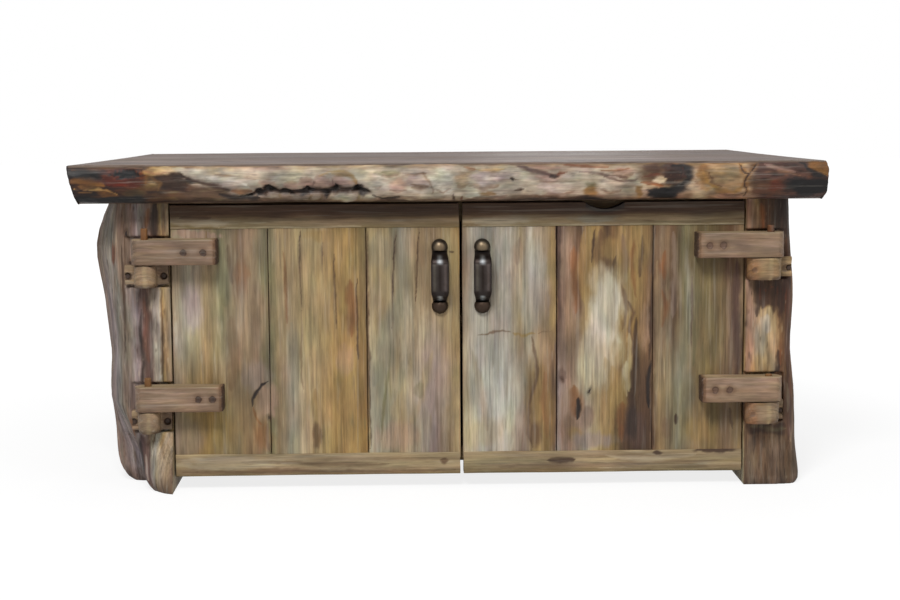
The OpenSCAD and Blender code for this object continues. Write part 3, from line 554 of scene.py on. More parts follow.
def paint_slab_left(p):
    """Dark end with the burnt patch, the cream lip and the pale run to the crevice."""
    p.wash(-720, -552, 535, 630, "umber", 1.0, 22)
    low = p.zone(-706, -556, 556, 600)
    p.veins("ochre", 6, 5, 0.36, 0.7, 11, low, 0.6)
    p.veins("bark", 7, 4, 0.4, 0.6, 12, low)
    p.veins("burnt", 6, 4, 0.34, 0.7, 21, low, -0.5)
    p.line([(-690, 617), (-630, 617), (-556, 616)], 6, "clay", 0.8)
    p.line([(-708, 607), (-680, 608), (-640, 606), (-612, 604)], 12, "coal", 0.9)
    p.blot(-716, 604, 20, 26, "coal", 0.95)
    p.line([(-690, 596), (-655, 592), (-626, 584)], 10, "honey", 0.8, 0.8, 0.6)
    p.line([(-676, 586), (-650, 582), (-630, 574)], 5, "straw", 0.5, 0.8, 0.4)
    p.line([(-606, 584), (-580, 579), (-556, 575)], 7, "ochre", 0.6, 0.8, 0.6)
    p.blot(-596, 597, 38, 17, "ember", 0.85, 0.8, -6)
    p.blot(-560, 604, 17, 9, "rust", 0.8)
    p.line([(-552, 610), (-546, 598), (-552, 586)], 5, "honey", 0.7)
    scorch = p.zone(-632, -556, 580, 614, 8)
    p.veins("rust", 5, 2, 0.34, 0.8, 31, scorch)
    p.veins("umber", 4, 2.5, 0.34, 0.8, 32, scorch, -0.5)
    p.blot(-602, 590, 26, 7, "ember", 0.9, 0.8, -8)
    p.line([(-566, 612), (-556, 604), (-560, 594)], 5, "rust", 0.9)
    p.line([(-550, 612), (-545, 602)], 4, "honey", 0.8)
    p.blot(-588, 603, 20, 8, "coal", 1.0, 0.6, 0, -1.2, 0.8)
    for x, down in ((-612, 601), (-604, 596), (-597, 599), (-590, 593), (-583, 598), (-575, 594),
                    (-566, 600)):
        p.line([(x, 614), (x + 3, down)], 3.0, "coal", 0.85)
    p.line([(-625, 590), (-600, 585), (-572, 580)], 6, "ember", 0.6)
    p.line([(-560, 600), (-548, 604)], 2.4, "umber", 0.6)
    p.line([(-686, 581), (-660, 579), (-637, 578), (-622, 573), (-608, 567)], 2.6, "bone", 0.85)
    p.line([(-676, 574), (-652, 573)], 1.8, "straw", 0.6)
    p.blot(-630, 568, 18, 6, "honey", 0.6)
    p.blot(-574, 566, 26, 8, "moss", 0.5)
    p.wash(-706, -556, 540, 561, "coal", 0.75, 8)
    # cream lip over an olive hollow
    p.blot(-522, 609, 34, 8, "bone", 0.9, 0.5, 0, 1.0)
    p.line([(-555, 613), (-530, 605), (-505, 607)], 3, "rose", 0.7)
    p.wash(-552, -402, 540, 582, "bark", 0.9, 14)
    mid = p.zone(-552, -408, 550, 598)
    p.veins("olive", 6, 6, 0.45, 0.7, 13, mid)
    p.veins("umber", 6, 7, 0.4, 0.8, 14, mid, -0.5)
    p.blot(-500, 588, 36, 15, "umber", 0.85, 0.5, -12, -1.0)
    p.blot(-462, 593, 14, 7, "coal", 0.75)
    p.line([(-540, 600), (-520, 588), (-528, 572)], 5, "honey", 0.5)
    p.line([(-502, 614), (-470, 607), (-440, 597), (-405, 588), (-365, 579)], 15, "ash", 0.95, 0.5,
           1.2)
    p.line([(-440, 600), (-405, 591), (-368, 583)], 8, "cream", 0.85, 0.6, 0.6)
    p.line([(-492, 606), (-465, 595), (-445, 589), (-425, 581), (-398, 573)], 5, "umber", 0.85)
    p.line([(-430, 612), (-395, 607), (-350, 600)], 6, "mist", 0.7)
    p.line([(-425, 605), (-390, 602), (-350, 594)], 2.6, "bark", 0.6)
    p.line([(-400, 615), (-340, 614), (-285, 613)], 5, "rose", 0.6)
    p.line([(-398, 573), (-380, 571), (-362, 573)], 7, "rust", 0.75)
    p.line([(-420, 562), (-400, 556), (-375, 557), (-350, 553)], 9, "coal", 0.85, 0.6, -2)


def paint_slab_crevice(p):
    """Ragged split with swollen lips, and the honey arch over its end."""
    p.wash(-386, -160, 586, 612, "ash", 0.55, 14)
    p.veins("mist", 7, 5, 0.4, 0.6, 15, p.zone(-380, -140, 580, 616))
    for x, z, rx, rz in ((-262, 590, 12, 7), (-234, 591, 15, 8), (-198, 591, 20, 9),
                         (-288, 585, 14, 6), (-330, 586, 16, 6)):
        p.blot(x, z, rx, rz, "rose", 0.8, 0.6, 0, 1.6)
        p.line([(x - rx, z + rz * 0.8), (x, z + rz * 1.2), (x + rx, z + rz * 0.7)], 2.6, "clay", 0.6)
    for x, z, rx, rz in ((-330, 560, 16, 6), (-272, 557, 17, 7), (-242, 558, 10, 7),
                         (-188, 559, 20, 8)):
        p.blot(x, z, rx, rz, "ash", 0.8, 0.6, 0, 1.4)
        p.line([(x + rx, z - rz), (x + rx + 3, z + rz)], 3, "olive", 0.8, 0.8, -1)
    split = [(-372, 560), (-352, 569), (-342, 565), (-330, 576), (-318, 569), (-300, 571),
             (-289, 569), (-271, 568), (-256, 577), (-246, 573), (-228, 571), (-216, 573),
             (-207, 579), (-203, 571), (-173, 571), (-167, 578), (-158, 569), (-146, 568)]
    p.line([(x, z + 1) for x, z in split], 24, "plum", 0.55, 0.9, -1)
    p.line(split, 11, "burnt", 1.0, 0.5, -6)
    for x, z in ((-372, 561), (-350, 567), (-330, 573), (-300, 569), (-271, 568), (-256, 574),
                 (-222, 570), (-205, 575), (-166, 575), (-158, 569)):
        p.blot(x, z, 10, 7, "coal", 0.95, 0.7, 0, -3, 0.7)
    for x, z0, z1, w in ((-256, 585, 572, 5), (-207, 588, 572, 5), (-330, 583, 570, 5),
                         (-220, 572, 556, 9), (-168, 582, 568, 8), (-290, 572, 560, 5),
                         (-352, 572, 556, 8)):
        p.line([(x, z0), (x + 1, z1)], w, "coal", 0.95, 0.5, -4)
    p.line([(-143, 564), (-127, 553), (-106, 551), (-91, 554)], 4, "coal", 0.9, 0.6, -3)
    p.line([(-246, 595), (-247, 582)], 2.5, "plum", 0.7, 0.8, -1)
    p.line([(-213, 598), (-212, 583)], 2.5, "plum", 0.7, 0.8, -1)
    p.line([(-216, 608), (-188, 605), (-172, 597), (-170, 583)], 6.5, "ochre", 0.8, 0.7, 0.8)
    p.line([(-236, 600), (-218, 609), (-188, 608)], 3.5, "honey", 0.7)


def paint_slab_middle(p):
    """Pale swellings with a painted shade line under each, small dark marks and the reddish streaks
    that follow.
    """
    p.wash(-150, 345, 556, 614, "ash", 0.5, 16)
    for x, z, rx, rz, colour in (
            (-131, 585, 13, 9, "mist"), (-93, 582, 15, 12, "rose"), (-56, 587, 20, 11, "lilac"),
            (-14, 590, 20, 19, "cream"), (-110, 604, 18, 6, "moss"), (-60, 606, 22, 6, "ash"),
            (24, 592, 13, 14, "tan"), (68, 590, 36, 16, "lilac"), (42, 562, 16, 8, "cream"),
            (-40, 563, 20, 8, "bone"), (-82, 560, 14, 6, "ash"), (100, 566, 16, 9, "ash"),
            (185, 590, 20, 9, "rose"), (205, 573, 34, 14, "cream"), (168, 562, 22, 9, "ash"),
            (300, 580, 24, 16, "cream"), (322, 600, 18, 8, "rose")):
        p.blot(x, z, rx, rz, colour, 0.75, 0.8, 0, 1.5)
        # painted shade line along the underside of each swelling
        shade_line = [(x - rx * 0.9, z - rz * 0.8), (x, z - rz * 1.15), (x + rx * 0.9, z - rz * 0.7)]
        p.line(shade_line, 3, "clay", 0.6, 0.8, -1.1)
    p.line([(-70, 583), (-58, 579), (-40, 580)], 3.4, "bark", 0.7)
    p.line([(-46, 604), (-36, 586), (-32, 566)], 3, "clay", 0.7, 0.8, -1)
    p.line([(5, 565), (6, 551)], 3, "umber", 0.85, 0.7, -1.5)
    p.line([(19, 560), (20, 549)], 3, "ember", 0.85, 0.7, -1.5)
    p.line([(31, 614), (46, 608)], 4, "rust", 0.8)
    p.line([(46, 609), (75, 607), (101, 608)], 5, "honey", 0.75)
    p.line([(34, 582), (70, 576), (101, 578)], 3, "clay", 0.6)
    p.blot(76, 563, 15, 4, "ochre", 0.75)
    p.blot(118, 586, 5, 3, "coal", 0.95, 0.5, -12, -1.5)
    p.line([(110, 592), (126, 584)], 2, "bark", 0.5)
    p.line([(124, 567), (134, 567), (144, 569)], 2.4, "umber", 0.85)
    p.line([(123, 614), (140, 607), (158, 602)], 4.5, "plum", 0.85)
    p.line([(132, 612), (156, 605), (178, 597), (196, 592)], 5.5, "plum", 0.85, 0.7, -0.8)
    p.line([(196, 592), (206, 598), (220, 599)], 3.5, "ember", 0.7)
    p.blot(194, 592, 7, 4, "umber", 0.85)
    p.line([(215, 614), (250, 613), (296, 613)], 4, "rust", 0.75)
    p.line([(150, 613), (180, 608), (210, 606)], 5, "rose", 0.8)
    p.line([(240, 600), (280, 596), (330, 590)], 3.5, "plum", 0.6)
    p.line([(285, 592), (320, 584), (348, 588)], 3, "plum", 0.6)
    p.line([(340, 606), (312, 603), (280, 606)], 3, "rust", 0.6)
    p.blot(262, 563, 13, 12, "ochre", 0.85)
    p.blot(258, 574, 8, 5, "moss", 0.5)
    # painted shade on the slab's lower edge, above the scoop in the right door's top rail
    p.wash(252, 312, 540, 551, "coal", 0.9, 7)


def paint_slab_right(p):
    """The burl, the smooth patch inside its crack, and the dark right end."""
    p.blot(368, 600, 24, 15, "clay", 0.9, 0.6, 0, 1.2)
    p.blot(372, 606, 14, 7, "plum", 0.8)
    p.blot(392, 592, 40, 26, "bark", 0.55, 0.7)
    p.blot(410, 600, 22, 18, "plum", 0.85, 0.6, 0, 1.0)
    p.blot(416, 594, 24, 20, "umber", 0.8, 0.7)
    rim = [(408, 614), (426, 615), (440, 604), (442, 586), (430, 571), (400, 562)]
    p.line(rim, 11, "coal", 0.85, 0.8, -2.4)
    burl = p.zone(388, 436, 574, 610, 6)
    p.veins("plum", 5, 1.2, 0.36, 0.8, 33, burl, 0.6)
    p.veins("rose", 4, 1.2, 0.26, 0.7, 34, burl, 0.8)
    p.veins("ember", 4, 1.2, 0.3, 0.7, 35, burl)
    p.veins("coal", 4, 1.2, 0.22, 0.8, 36, burl, -1.0)
    p.blot(386, 584, 14, 7, "cream", 0.9, 0.5, 0, 1.5)
    p.line([(352, 590), (368, 594), (384, 598)], 3, "ember", 0.7)
    p.line([(352, 582), (368, 578), (396, 572)], 5, "rust", 0.75, 0.7, -1)
    p.blot(394, 559, 26, 11, "coal", 0.95, 0.5, 0, -1.5)
    p.blot(351, 564, 5, 11, "ochre", 0.85)
    p.wash(448, 476, 552, 590, "ash", 0.85, 6)
    p.veins("clay", 4, 3, 0.3, 0.6, 17, p.zone(448, 476, 552, 600))
    p.blot(470, 594, 13, 24, "ochre", 0.75)
    p.blot(512, 592, 34, 24, "tan", 0.85, 0.5, 0, 0.8)
    p.blot(516, 592, 26, 18, "mist", 0.5, 0.8)
    p.blot(500, 600, 18, 8, "straw", 0.5, 0.8)
    p.line([(468, 606), (474, 582), (496, 567), (526, 564), (543, 572)], 5, "honey", 0.85, 0.7)
    p.line([(480, 600), (484, 580), (502, 571)], 2.6, "bark", 0.6)
    p.blot(520, 555, 26, 8, "rose", 0.75, 0.6, 0, 1.0)
    p.line([(498, 563), (520, 559), (542, 562)], 3, "bark", 0.7)
    # the dark end
    p.wash(562, 712, 535, 630, "plum", 0.95, 14)
    p.veins("umber", 6, 4, 0.5, 0.8, 18, p.zone(560, 706, 545, 618))
    p.veins("rust", 6, 3, 0.3, 0.5, 37, p.zone(575, 706, 552, 600))
    p.veins("clay", 5, 7, 0.3, 0.5, 19, p.zone(575, 665, 590, 618))
    p.blot(590, 569, 34, 12, "bark", 0.8)
    p.blot(602, 572, 18, 7, "ember", 0.6)
    p.line([(584, 610), (612, 604), (640, 596)], 6, "lilac", 0.75)
    p.line([(604, 600), (630, 594), (652, 588)], 4, "clay", 0.6)
    p.blot(664, 570, 48, 17, "coal", 0.97, 0.5)
    p.blot(680, 610, 24, 16, "ochre", 0.85, 0.5, -25)
    p.veins("umber", 4, 4, 0.3, 0.6, 20, p.zone(655, 700, 592, 622))
    p.line([(648, 620), (660, 606), (673, 593), (697, 589)], 4.5, "coal", 0.85)
    for crack in ([(534, 619), (547, 598), (558, 591), (549, 574), (543, 556)],
                  [(570, 618), (557, 592)]):
        p.line(crack, 8, "ochre", 0.7)
        p.line(crack, 2.6, "umber", 0.85, 0.6, -2.2)


def paint_slab_front(p):
    """The live edge from end to end."""
    p.fill({545: "bark", 554: "clay", 572: "ash", 600: "ash", 618: "tan"})
    p.veins("bone", 6, 6, 0.4, 0.6, 5)
    p.veins("clay", 8, 7, 0.35, 0.5, 6)
    p.veins("olive", 5, 9, 0.22, 0.4, 7)
    paint_slab_left(p)
    paint_slab_crevice(p)
    paint_slab_middle(p)
    paint_slab_right(p)
    # painted shade along the bottom of the live edge, where it turns under
    p.wash(-712, 712, 530, 551, "umber", 0.6, 5)
    p.punch(1.45, (104, 80, 58), ramp(p.x, -420, -540))
    p.punch(1.20, (158, 140, 122), ramp(p.x, 110, 160) * ramp(p.x, 350, 330))
    p.punch(1.35, (118, 96, 78), ramp(p.x, 330, 380))
    p.tint(0.96, 0.95, 0.95)
    p.tint(0.76, 0.60, 0.40, ramp(p.x, -450, -560))
    p.tint(0.96, 0.92, 0.90, ramp(p.x, 120, 160))
    p.tint(0.95, 0.88, 0.80, ramp(p.x, 340, 400))
    p.mottle(22, 0.24, 1.6)
    p.mottle(8, 0.17, 2.2)
    p.grain(0.10, 4, 5)
    p.lift += 2.6 * p.noise(24, 41, 2.0, 5) + 0.8 * p.noise(8, 43, 2.5, 3) - 2.4


def paint_slab_top(p):
    """The sawn top and underside; z runs on from the front edge by depth."""
    p.fill({620: "clay", 760: "lilac", 900: "clay", 1000: "lilac", 1200: "clay"})
    # darker top and underside: partly their own tone, partly painted shade to offset the back lamp's
    # grazing light
    p.tint(0.70, 0.67, 0.655)
    p.veins("lilac", 16, 12, 0.4, 0.35, 5)
    p.veins("bark", 9, 18, 0.3, 0.35, 6)
    p.veins("umber", 5, 26, 0.14, 0.4, 7)
    p.veins("rose", 7, 16, 0.3, 0.35, 8)
    p.mottle(40, 0.10, 5)
    for z, x0, x1 in ((700, -500, 60), (812, -150, 560), (930, -600, -90), (1060, 90, 600)):
        p.crack([(x0, z), ((x0 + x1) / 2, z + 9), (x1, z - 4)], 1.8, 0.8, 1.2)
    for x, z in ((-420, 790), (250, 720), (455, 985), (-60, 1090)):
        p.knot(x, z, 22, 9)
    p.grain(0.12, 6, 24)
    p.lift += 0.7 * p.noise(60, 42, 4) - 0.5


def make_slab():
    xs = np.linspace(0, 1, 600)
    ys = np.concatenate([np.linspace(0, 0.05, 8), np.linspace(0.06, 0.985, 66), [0.995, 1]])
    zs = np.concatenate([[0, 0.012], np.linspace(0.03, 0.97, 31), [0.988, 1]])
    unit, quads = lattice(xs, ys, zs)
    piece = Piece("top_slab", mesh_object("live_edge_slab", slab_shape(unit), quads))
    x, y, z = piece.x, piece.y, piece.z
    _, d, h = unit.T
    front, under = d < 0.02, (h < 0.001) & (d > 0)
    # the front edge goes by height; the top and the underside carry on from it by depth
    run = y - y.min()
    flat = np.where(under, 400 - run, np.where((h > 0.999) | ~front, z + run, z))
    p = Paint(x, flat, "x", 3, 7)
    q = Paint(x, flat, "x", 4, 5)
    paint_slab_front(p)
    paint_slab_top(q)
    sawn = np.clip(ramp(flat + 3 * p.noise(9, 50, 3), 617, 626) * (flat > 500) + (flat < 500), 0, 1)
    p.blend(q.rgb, sawn)
    # the ends show rings across the thickness
    ends = np.clip(np.abs(piece.facing[:, 0]) * 1.6 - 0.6, 0, 1) * (d > 0.01)
    rings = np.sin(0.16 * np.hypot(y - 60, 2.6 * (z - 470)) + 2.5 * fractal(y / 60, z / 20, 8))
    p.blend(tone("bark") * (0.86 + 0.10 * rings + 0.10 * fractal(y / 6, z / 25, 9))[:, None], ends)
    p.lift = np.where(front, p.lift, np.minimum(q.lift, 0) * (1 - ends))
    piece.finish(p, "slab_wood", SLAB)


# -------------------------------------------------------------------- doors


# the mesh step along and up a board, the step through it, and the radius of its edges
PLANK_STEP, RAIL_STEP, THROUGH = 1.6, 1.7, 5
PLANK_EDGE, RAIL_EDGE = 0.6, 1.6


def door_board(node, name, step, r, grow=(0.0, 0.0)):
    """Box of fine mesh over a CAD board; grow closes the joints to its neighbours."""
    lo, hi = box_mm(node)
    lo[0], hi[0] = lo[0] - grow[0], hi[0] + grow[1]
    co, quads = lattice(steps(lo[0], hi[0], step, r), steps(lo[1], hi[1], THROUGH, r),
                        steps(lo[2], hi[2], step, r))
    return Piece(node, mesh_object(name, round_off(co, lo, hi, r) * MM, quads), (lo, hi))


def weather_boards(p):
    """Thin streaks of every tone, over the broad ones of a door."""
    p.veins("bone", 7, 9, 0.26, 0.30, 5)
    p.veins("moss", 8, 8, 0.24, 0.34, 6)
    p.veins("clay", 6, 10, 0.28, 0.34, 7)
    p.veins("olive", 12, 5, 0.28, 0.34, 9)
    p.veins("rose", 10, 5, 0.18, 0.30, 10)
    p.veins("bark", 2.6, 30, 0.12, 0.45, 8, 1.0, -0.2)


def paint_left_door(p):
    p.fill({-520: "tan", -490: "ash", -455: "tan", -425: "moss", -395: "clay", -360: "tan",
            -340: "moss", -334: "moss", -318: "straw", -300: "tan", -285: "straw", -240: "straw",
            -215: "honey", -180: "honey", -157: "olive", -152: "straw", -120: "straw",
            -90: "mist", -60: "tan", -30: "tan", 5: "straw", 21: "honey"},
           {-520: "lilac", -490: "straw", -455: "honey", -425: "straw", -395: "tan", -360: "clay",
            -340: "moss", -334: "moss", -318: "tan", -300: "ash", -260: "straw", -215: "honey",
            -180: "honey", -157: "ochre", -152: "ash", -120: "mist", -90: "tan", -60: "ash",
            -30: "lilac", 5: "tan", 21: "straw"})
    weather_boards(p)
    # outer plank
    p.blot(-470, 486, 42, 9, "rose", 0.85, 0.4)
    p.line([(-455, 496), (-454, 474)], 3.5, "ochre", 0.9)
    p.blot(-483, 345, 20, 48, "lilac", 0.75)
    p.blot(-505, 300, 10, 70, "ash", 0.5)
    p.line([(-425, 480), (-420, 420), (-418, 350)], 15, "moss", 0.75)
    p.line([(-412, 470), (-404, 395)], 7, "umber", 0.35)
    p.blot(-384, 410, 12, 36, "rust", 0.45, 0.9)
    p.blot(-372, 350, 34, 50, "clay", 0.5, 0.9)
    p.line([(-410, 330), (-405, 250), (-414, 190)], 16, "bark", 0.35)
    p.blot(-440, 120, 40, 34, "honey", 0.6, 0.9)
    p.blot(-490, 100, 26, 34, "lilac", 0.6, 0.9)
    p.blot(-362, 215, 24, 34, "lilac", 0.6, 0.8)
    p.blot(-345, 165, 19, 34, "rose", 0.85, 0.5, -12, 0.4)
    p.line([(-343, 203), (-352, 200), (-364, 190), (-371, 172), (-371, 158)], 4.5, "coal", 0.95,
           0.6, -0.9)
    p.line([(-371, 158), (-366, 140), (-356, 124)], 3, "rust", 0.7)
    p.knot(-341, 139, 5, 6)
    p.blot(-350, 100, 18, 28, "rust", 0.45, 0.9, 20)
    p.line([(-344, 128), (-346, 95), (-340, 74)], 7, "bark", 0.7)
    # middle plank
    p.line([(-309, 455), (-307, 380), (-305, 320)], 3.5, "rust", 0.55)
    p.crack([(-277, 492), (-278, 430), (-277, 340)], 1.7)
    p.line([(-277, 340), (-280, 260), (-276, 190)], 3, "bark", 0.45)
    p.crack([(-236, 494), (-235, 415)], 1.3, 0.7)
    p.line([(-212, 450), (-211, 380), (-209, 300)], 2.6, "umber", 0.7)
    p.blot(-235, 484, 34, 10, "honey", 0.75)
    p.blot(-250, 380, 40, 110, "straw", 0.45, 0.9)
    p.line([(-185, 395), (-180, 350), (-184, 292)], 13, "rust", 0.65)
    p.line([(-172, 400), (-171, 320), (-172, 240)], 2.4, "umber", 0.75)
    p.line([(-298, 320), (-295, 220), (-298, 90)], 18, "mist", 0.45)
    p.blot(-196, 250, 16, 30, "rose", 0.45)
    p.line([(-255, 190), (-248, 130), (-255, 80)], 12, "ochre", 0.45)
    p.blot(-252, 100, 9, 24, "umber", 0.4)
    # inner plank
    p.crack([(-98, 496), (-104, 400), (-106, 305)], 1.7, 0.95)
    p.line([(-106, 305), (-112, 230), (-125, 150), (-129, 90)], 3.4, "moss", 0.8)
    p.crack([(-54, 496), (-58, 420), (-61, 350)], 1.3, 0.75)
    p.line([(-92, 375), (-112, 280), (-140, 200)], 26, "mist", 0.6)
    p.line([(-70, 330), (-84, 240), (-112, 160)], 15, "mist", 0.5)
    p.blot(-128, 452, 18, 34, "mist", 0.4)
    p.blot(-80, 300, 14, 60, "bone", 0.6, 0.9)
    p.blot(-44, 270, 14, 60, "bone", 0.45, 0.9)
    p.blot(-20, 220, 24, 70, "lilac", 0.5, 0.9)
    p.line([(-75, 120), (-50, 180), (-30, 260)], 10, "straw", 0.5)
    p.blot(-100, 100, 40, 26, "rose", 0.5)
    p.blot(-55, 190, 9, 14, "moss", 0.5)
    p.line([(4, 452), (13, 454)], 2.4, "umber", 0.8)
    p.line([(18, 490), (18, 80)], 7, "straw", 0.55)
    p.line([(-152, 496), (-153, 300), (-152, 72)], 3, "umber", 0.6)


def paint_right_door(p):
    p.fill({26: "tan", 45: "ash", 80: "mist", 115: "ash", 135: "straw", 155: "ash", 185: "tan",
            203: "honey", 206: "plum", 225: "clay", 250: "bark", 262: "honey", 285: "honey",
            300: "bark", 330: "honey", 360: "honey", 386: "bark", 400: "clay", 425: "bark",
            445: "moss", 470: "olive", 500: "olive", 530: "bark", 559: "tan"},
           {26: "straw", 60: "ash", 120: "bone", 140: "clay", 170: "honey", 203: "bark",
            206: "lilac", 230: "rose", 260: "ash", 285: "straw", 310: "honey", 330: "bark",
            350: "umber", 386: "bark", 400: "tan", 440: "mist", 470: "tan", 500: "olive",
            530: "clay", 559: "tan"}, (380, 160))
    weather_boards(p)
    # inner plank
    p.line([(90, 452), (96, 400), (92, 340)], 20, "mist", 0.8)
    p.line([(134, 480), (132, 425)], 14, "clay", 0.55)
    p.blot(160, 390, 30, 70, "ash", 0.7, 0.9)
    p.blot(70, 330, 40, 60, "ash", 0.5, 0.9)
    p.line([(196, 490), (197, 400), (196, 300)], 9, "honey", 0.8)
    p.line([(55, 297), (90, 300), (120, 298)], 2.6, "bark", 0.7)
    p.line([(122, 297), (145, 296), (166, 298)], 4.5, "honey", 0.95)
    p.line([(172, 298), (196, 299)], 2, "bark", 0.5)
    p.blot(110, 200, 34, 50, "mist", 0.6, 0.9)
    p.blot(80, 160, 24, 60, "ash", 0.5, 0.9)
    p.blot(60, 105, 36, 28, "straw", 0.6, 0.9)
    p.line([(52, 240), (64, 160), (72, 110)], 10, "tan", 0.5)
    p.blot(176, 150, 24, 90, "ochre", 0.6, 0.6, 6)
    p.line([(160, 290), (170, 230), (155, 160), (150, 100), (160, 76)], 5, "bark", 0.75)
    p.line([(185, 220), (180, 150), (190, 90)], 8, "rust", 0.45)
    p.blot(165, 100, 12, 26, "bark", 0.6)
    # middle plank
    p.blot(225, 400, 16, 90, "rose", 0.6, 0.8)
    p.line([(238, 460), (243, 400), (240, 330)], 13, "rust", 0.75)
    p.line([(255, 490), (252, 420), (258, 350)], 9, "honey", 0.8)
    p.line([(288, 488), (282, 440), (296, 410)], 16, "bark", 0.65)
    p.line([(276, 492), (272, 430)], 2.4, "umber", 0.8)
    p.blot(315, 452, 24, 22, "honey", 0.8)
    p.line([(330, 480), (335, 430), (325, 380)], 9, "clay", 0.7)
    p.line([(318, 440), (308, 400), (316, 350)], 5, "umber", 0.6)
    p.line([(352, 470), (345, 420), (356, 360)], 7, "rust", 0.55)
    p.line([(366, 480), (362, 400)], 5, "umber", 0.5)
    p.blot(288, 395, 18, 26, "bone", 0.8, 0.8)
    p.blot(296, 315, 42, 98, "straw", 0.8, 0.7, -4, 0.3)
    p.blot(298, 322, 30, 84, "cream", 1.0, 0.7, -5, 0.8)
    p.blot(282, 300, 16, 60, "cream", 0.9, 0.9)
    p.blot(280, 232, 32, 46, "bone", 0.9, 0.8, 0, 0.5)
    p.blot(266, 262, 16, 40, "ash", 0.7, 0.8)
    p.line([(300, 250), (306, 210), (300, 180)], 8, "straw", 0.7)
    p.blot(345, 300, 26, 34, "ochre", 0.8, 0.8)
    p.line([(326, 384), (334, 340), (326, 300)], 5, "bark", 0.6)
    p.line([(336, 355), (350, 330), (338, 300), (346, 270)], 6, "bark", 0.8, 0.8, -0.8)
    p.line([(338, 290), (345, 255), (336, 215), (340, 180)], 13, "straw", 0.9, 0.7, 1.0)
    p.line([(334, 240), (330, 205), (336, 170)], 7, "bone", 0.7, 0.8, 0.8)
    p.line([(356, 320), (352, 260), (358, 210), (350, 170)], 9, "umber", 0.8, 0.7, -1.2)
    p.blot(372, 300, 12, 40, "rose", 0.5, 0.9)
    p.blot(368, 190, 14, 50, "bark", 0.8, 0.8)
    p.line([(310, 230), (322, 180), (318, 110)], 16, "honey", 0.8)
    p.blot(352, 110, 26, 36, "plum", 0.85, 0.7)
    p.blot(345, 120, 12, 28, "coal", 0.5, 0.8)
    p.line([(328, 160), (322, 120), (328, 80)], 9, "rust", 0.8)
    p.blot(240, 130, 30, 50, "rose", 0.6, 0.9)
    p.blot(228, 110, 14, 28, "clay", 0.7, 0.8)
    p.line([(236, 195), (240, 165), (242, 130)], 14, "rust", 0.75)
    p.line([(243, 172), (244, 150), (242, 128)], 7, "coal", 0.95, 0.6, -0.8)
    p.blot(240, 100, 12, 14, "honey", 0.6)
    p.knot(214, 207, 4, 5, 20, "plum", "umber")
    p.blot(214, 212, 9, 14, "plum", 0.5)
    p.knot(267, 186, 5, 8, -30, "mist", "coal")
    p.blot(275, 85, 46, 14, "lilac", 0.8, 0.8)
    p.blot(262, 130, 14, 20, "plum", 0.35)
    # seams, cracks and the outer plank
    p.line([(204, 496), (206, 300), (205, 72)], 3, "plum", 0.75)
    p.line([(387, 496), (385, 330), (383, 240)], 2.6, "umber", 0.8)
    p.line([(386, 240), (382, 200), (384, 150)], 5, "coal", 0.95, 0.7, -1.2)
    p.line([(386, 150), (388, 72)], 3, "umber", 0.8)
    p.line([(408, 450), (404, 420), (407, 395)], 6, "rust", 0.75)
    p.line([(404, 375), (409, 345), (402, 300)], 8, "rust", 0.7)
    p.line([(395, 430), (398, 300), (396, 180)], 9, "straw", 0.45)
    p.line([(424, 480), (428, 400), (424, 320)], 10, "lilac", 0.5)
    p.line([(450, 450), (452, 380), (455, 270)], 8, "mist", 0.6)
    p.line([(459, 400), (458, 330), (461, 260)], 3, "plum", 0.7)
    p.line([(468, 440), (470, 350), (466, 230)], 9, "moss", 0.6)
    p.blot(500, 330, 30, 120, "olive", 0.5, 0.8)
    p.line([(546, 430), (543, 330), (548, 240), (545, 190)], 13, "plum", 0.85)
    p.line([(532, 440), (530, 330), (534, 220)], 7, "clay", 0.5)
    p.blot(445, 180, 22, 44, "mist", 0.6, 0.9)
    p.line([(432, 135), (434, 112)], 4, "umber", 0.9)
    p.line([(525, 130), (530, 100), (528, 76)], 8, "clay", 0.7)
    p.line([(410, 130), (415, 90)], 9, "clay", 0.5)
    p.blot(480, 105, 24, 24, "honey", 0.5, 0.9)
    p.line([(535, 150), (540, 110)], 3, "umber", 0.6)


def make_planks():
    # how far each plank's mesh grows to the left and the right, in mm
    grow = {"left_outer": (0, 0.35), "left_middle": (0.35, 0.35), "left_inner": (0.35, 0.8),
            "right_outer": (0.35, 0), "right_middle": (0.35, 0.35), "right_inner": (0.8, 0.35)}
    for place, sides in grow.items():
        side, which = place.split("_")
        paint, seed = {"left": (paint_left_door, 11), "right": (paint_right_door, 23)}[side]
        piece = door_board(f"{side}_door_plank_{which}", f"{side}_plank_{which}", PLANK_STEP,
                           PLANK_EDGE, sides)
        x, z = piece.x, piece.z
        p = Paint(x, z, "z", seed, 5)
        paint(p)
        from_edge = np.minimum(x - piece.lo[0], piece.hi[0] - x) + 1.2 * p.noise(9, 59, 4)
        edge = ramp(from_edge, 3.2, 0.4)
        p.lay(0.4 * edge, "bark")
        p.tint(0.95, 0.94, 0.91)
        p.tint(0.93, 0.92, 0.86, ramp(z, 250, 120) * ramp(np.abs(x - 20), 330, 400))
        p.tint(1.05, 1.07, 1.11, ramp(x, -340, -370) * ramp(z, 200, 300))
        pale = ramp(x, 20, 30) * ramp(x, 215, 195)
        p.tint(1.0, 1.01, 1.07, pale)
        p.tint(1.05, 1.07, 1.09, pale * ramp(z, 310, 250))
        p.mottle(26, 0.18, 2.5)
        p.mottle(9, 0.10, 5)
        p.grain(0.085, 3.2, 34)
        p.lift += 0.5 * p.noise(34, 60, 6) - 0.5 - 0.5 * edge
        piece.finish(p, "plank_wood", PLANK)


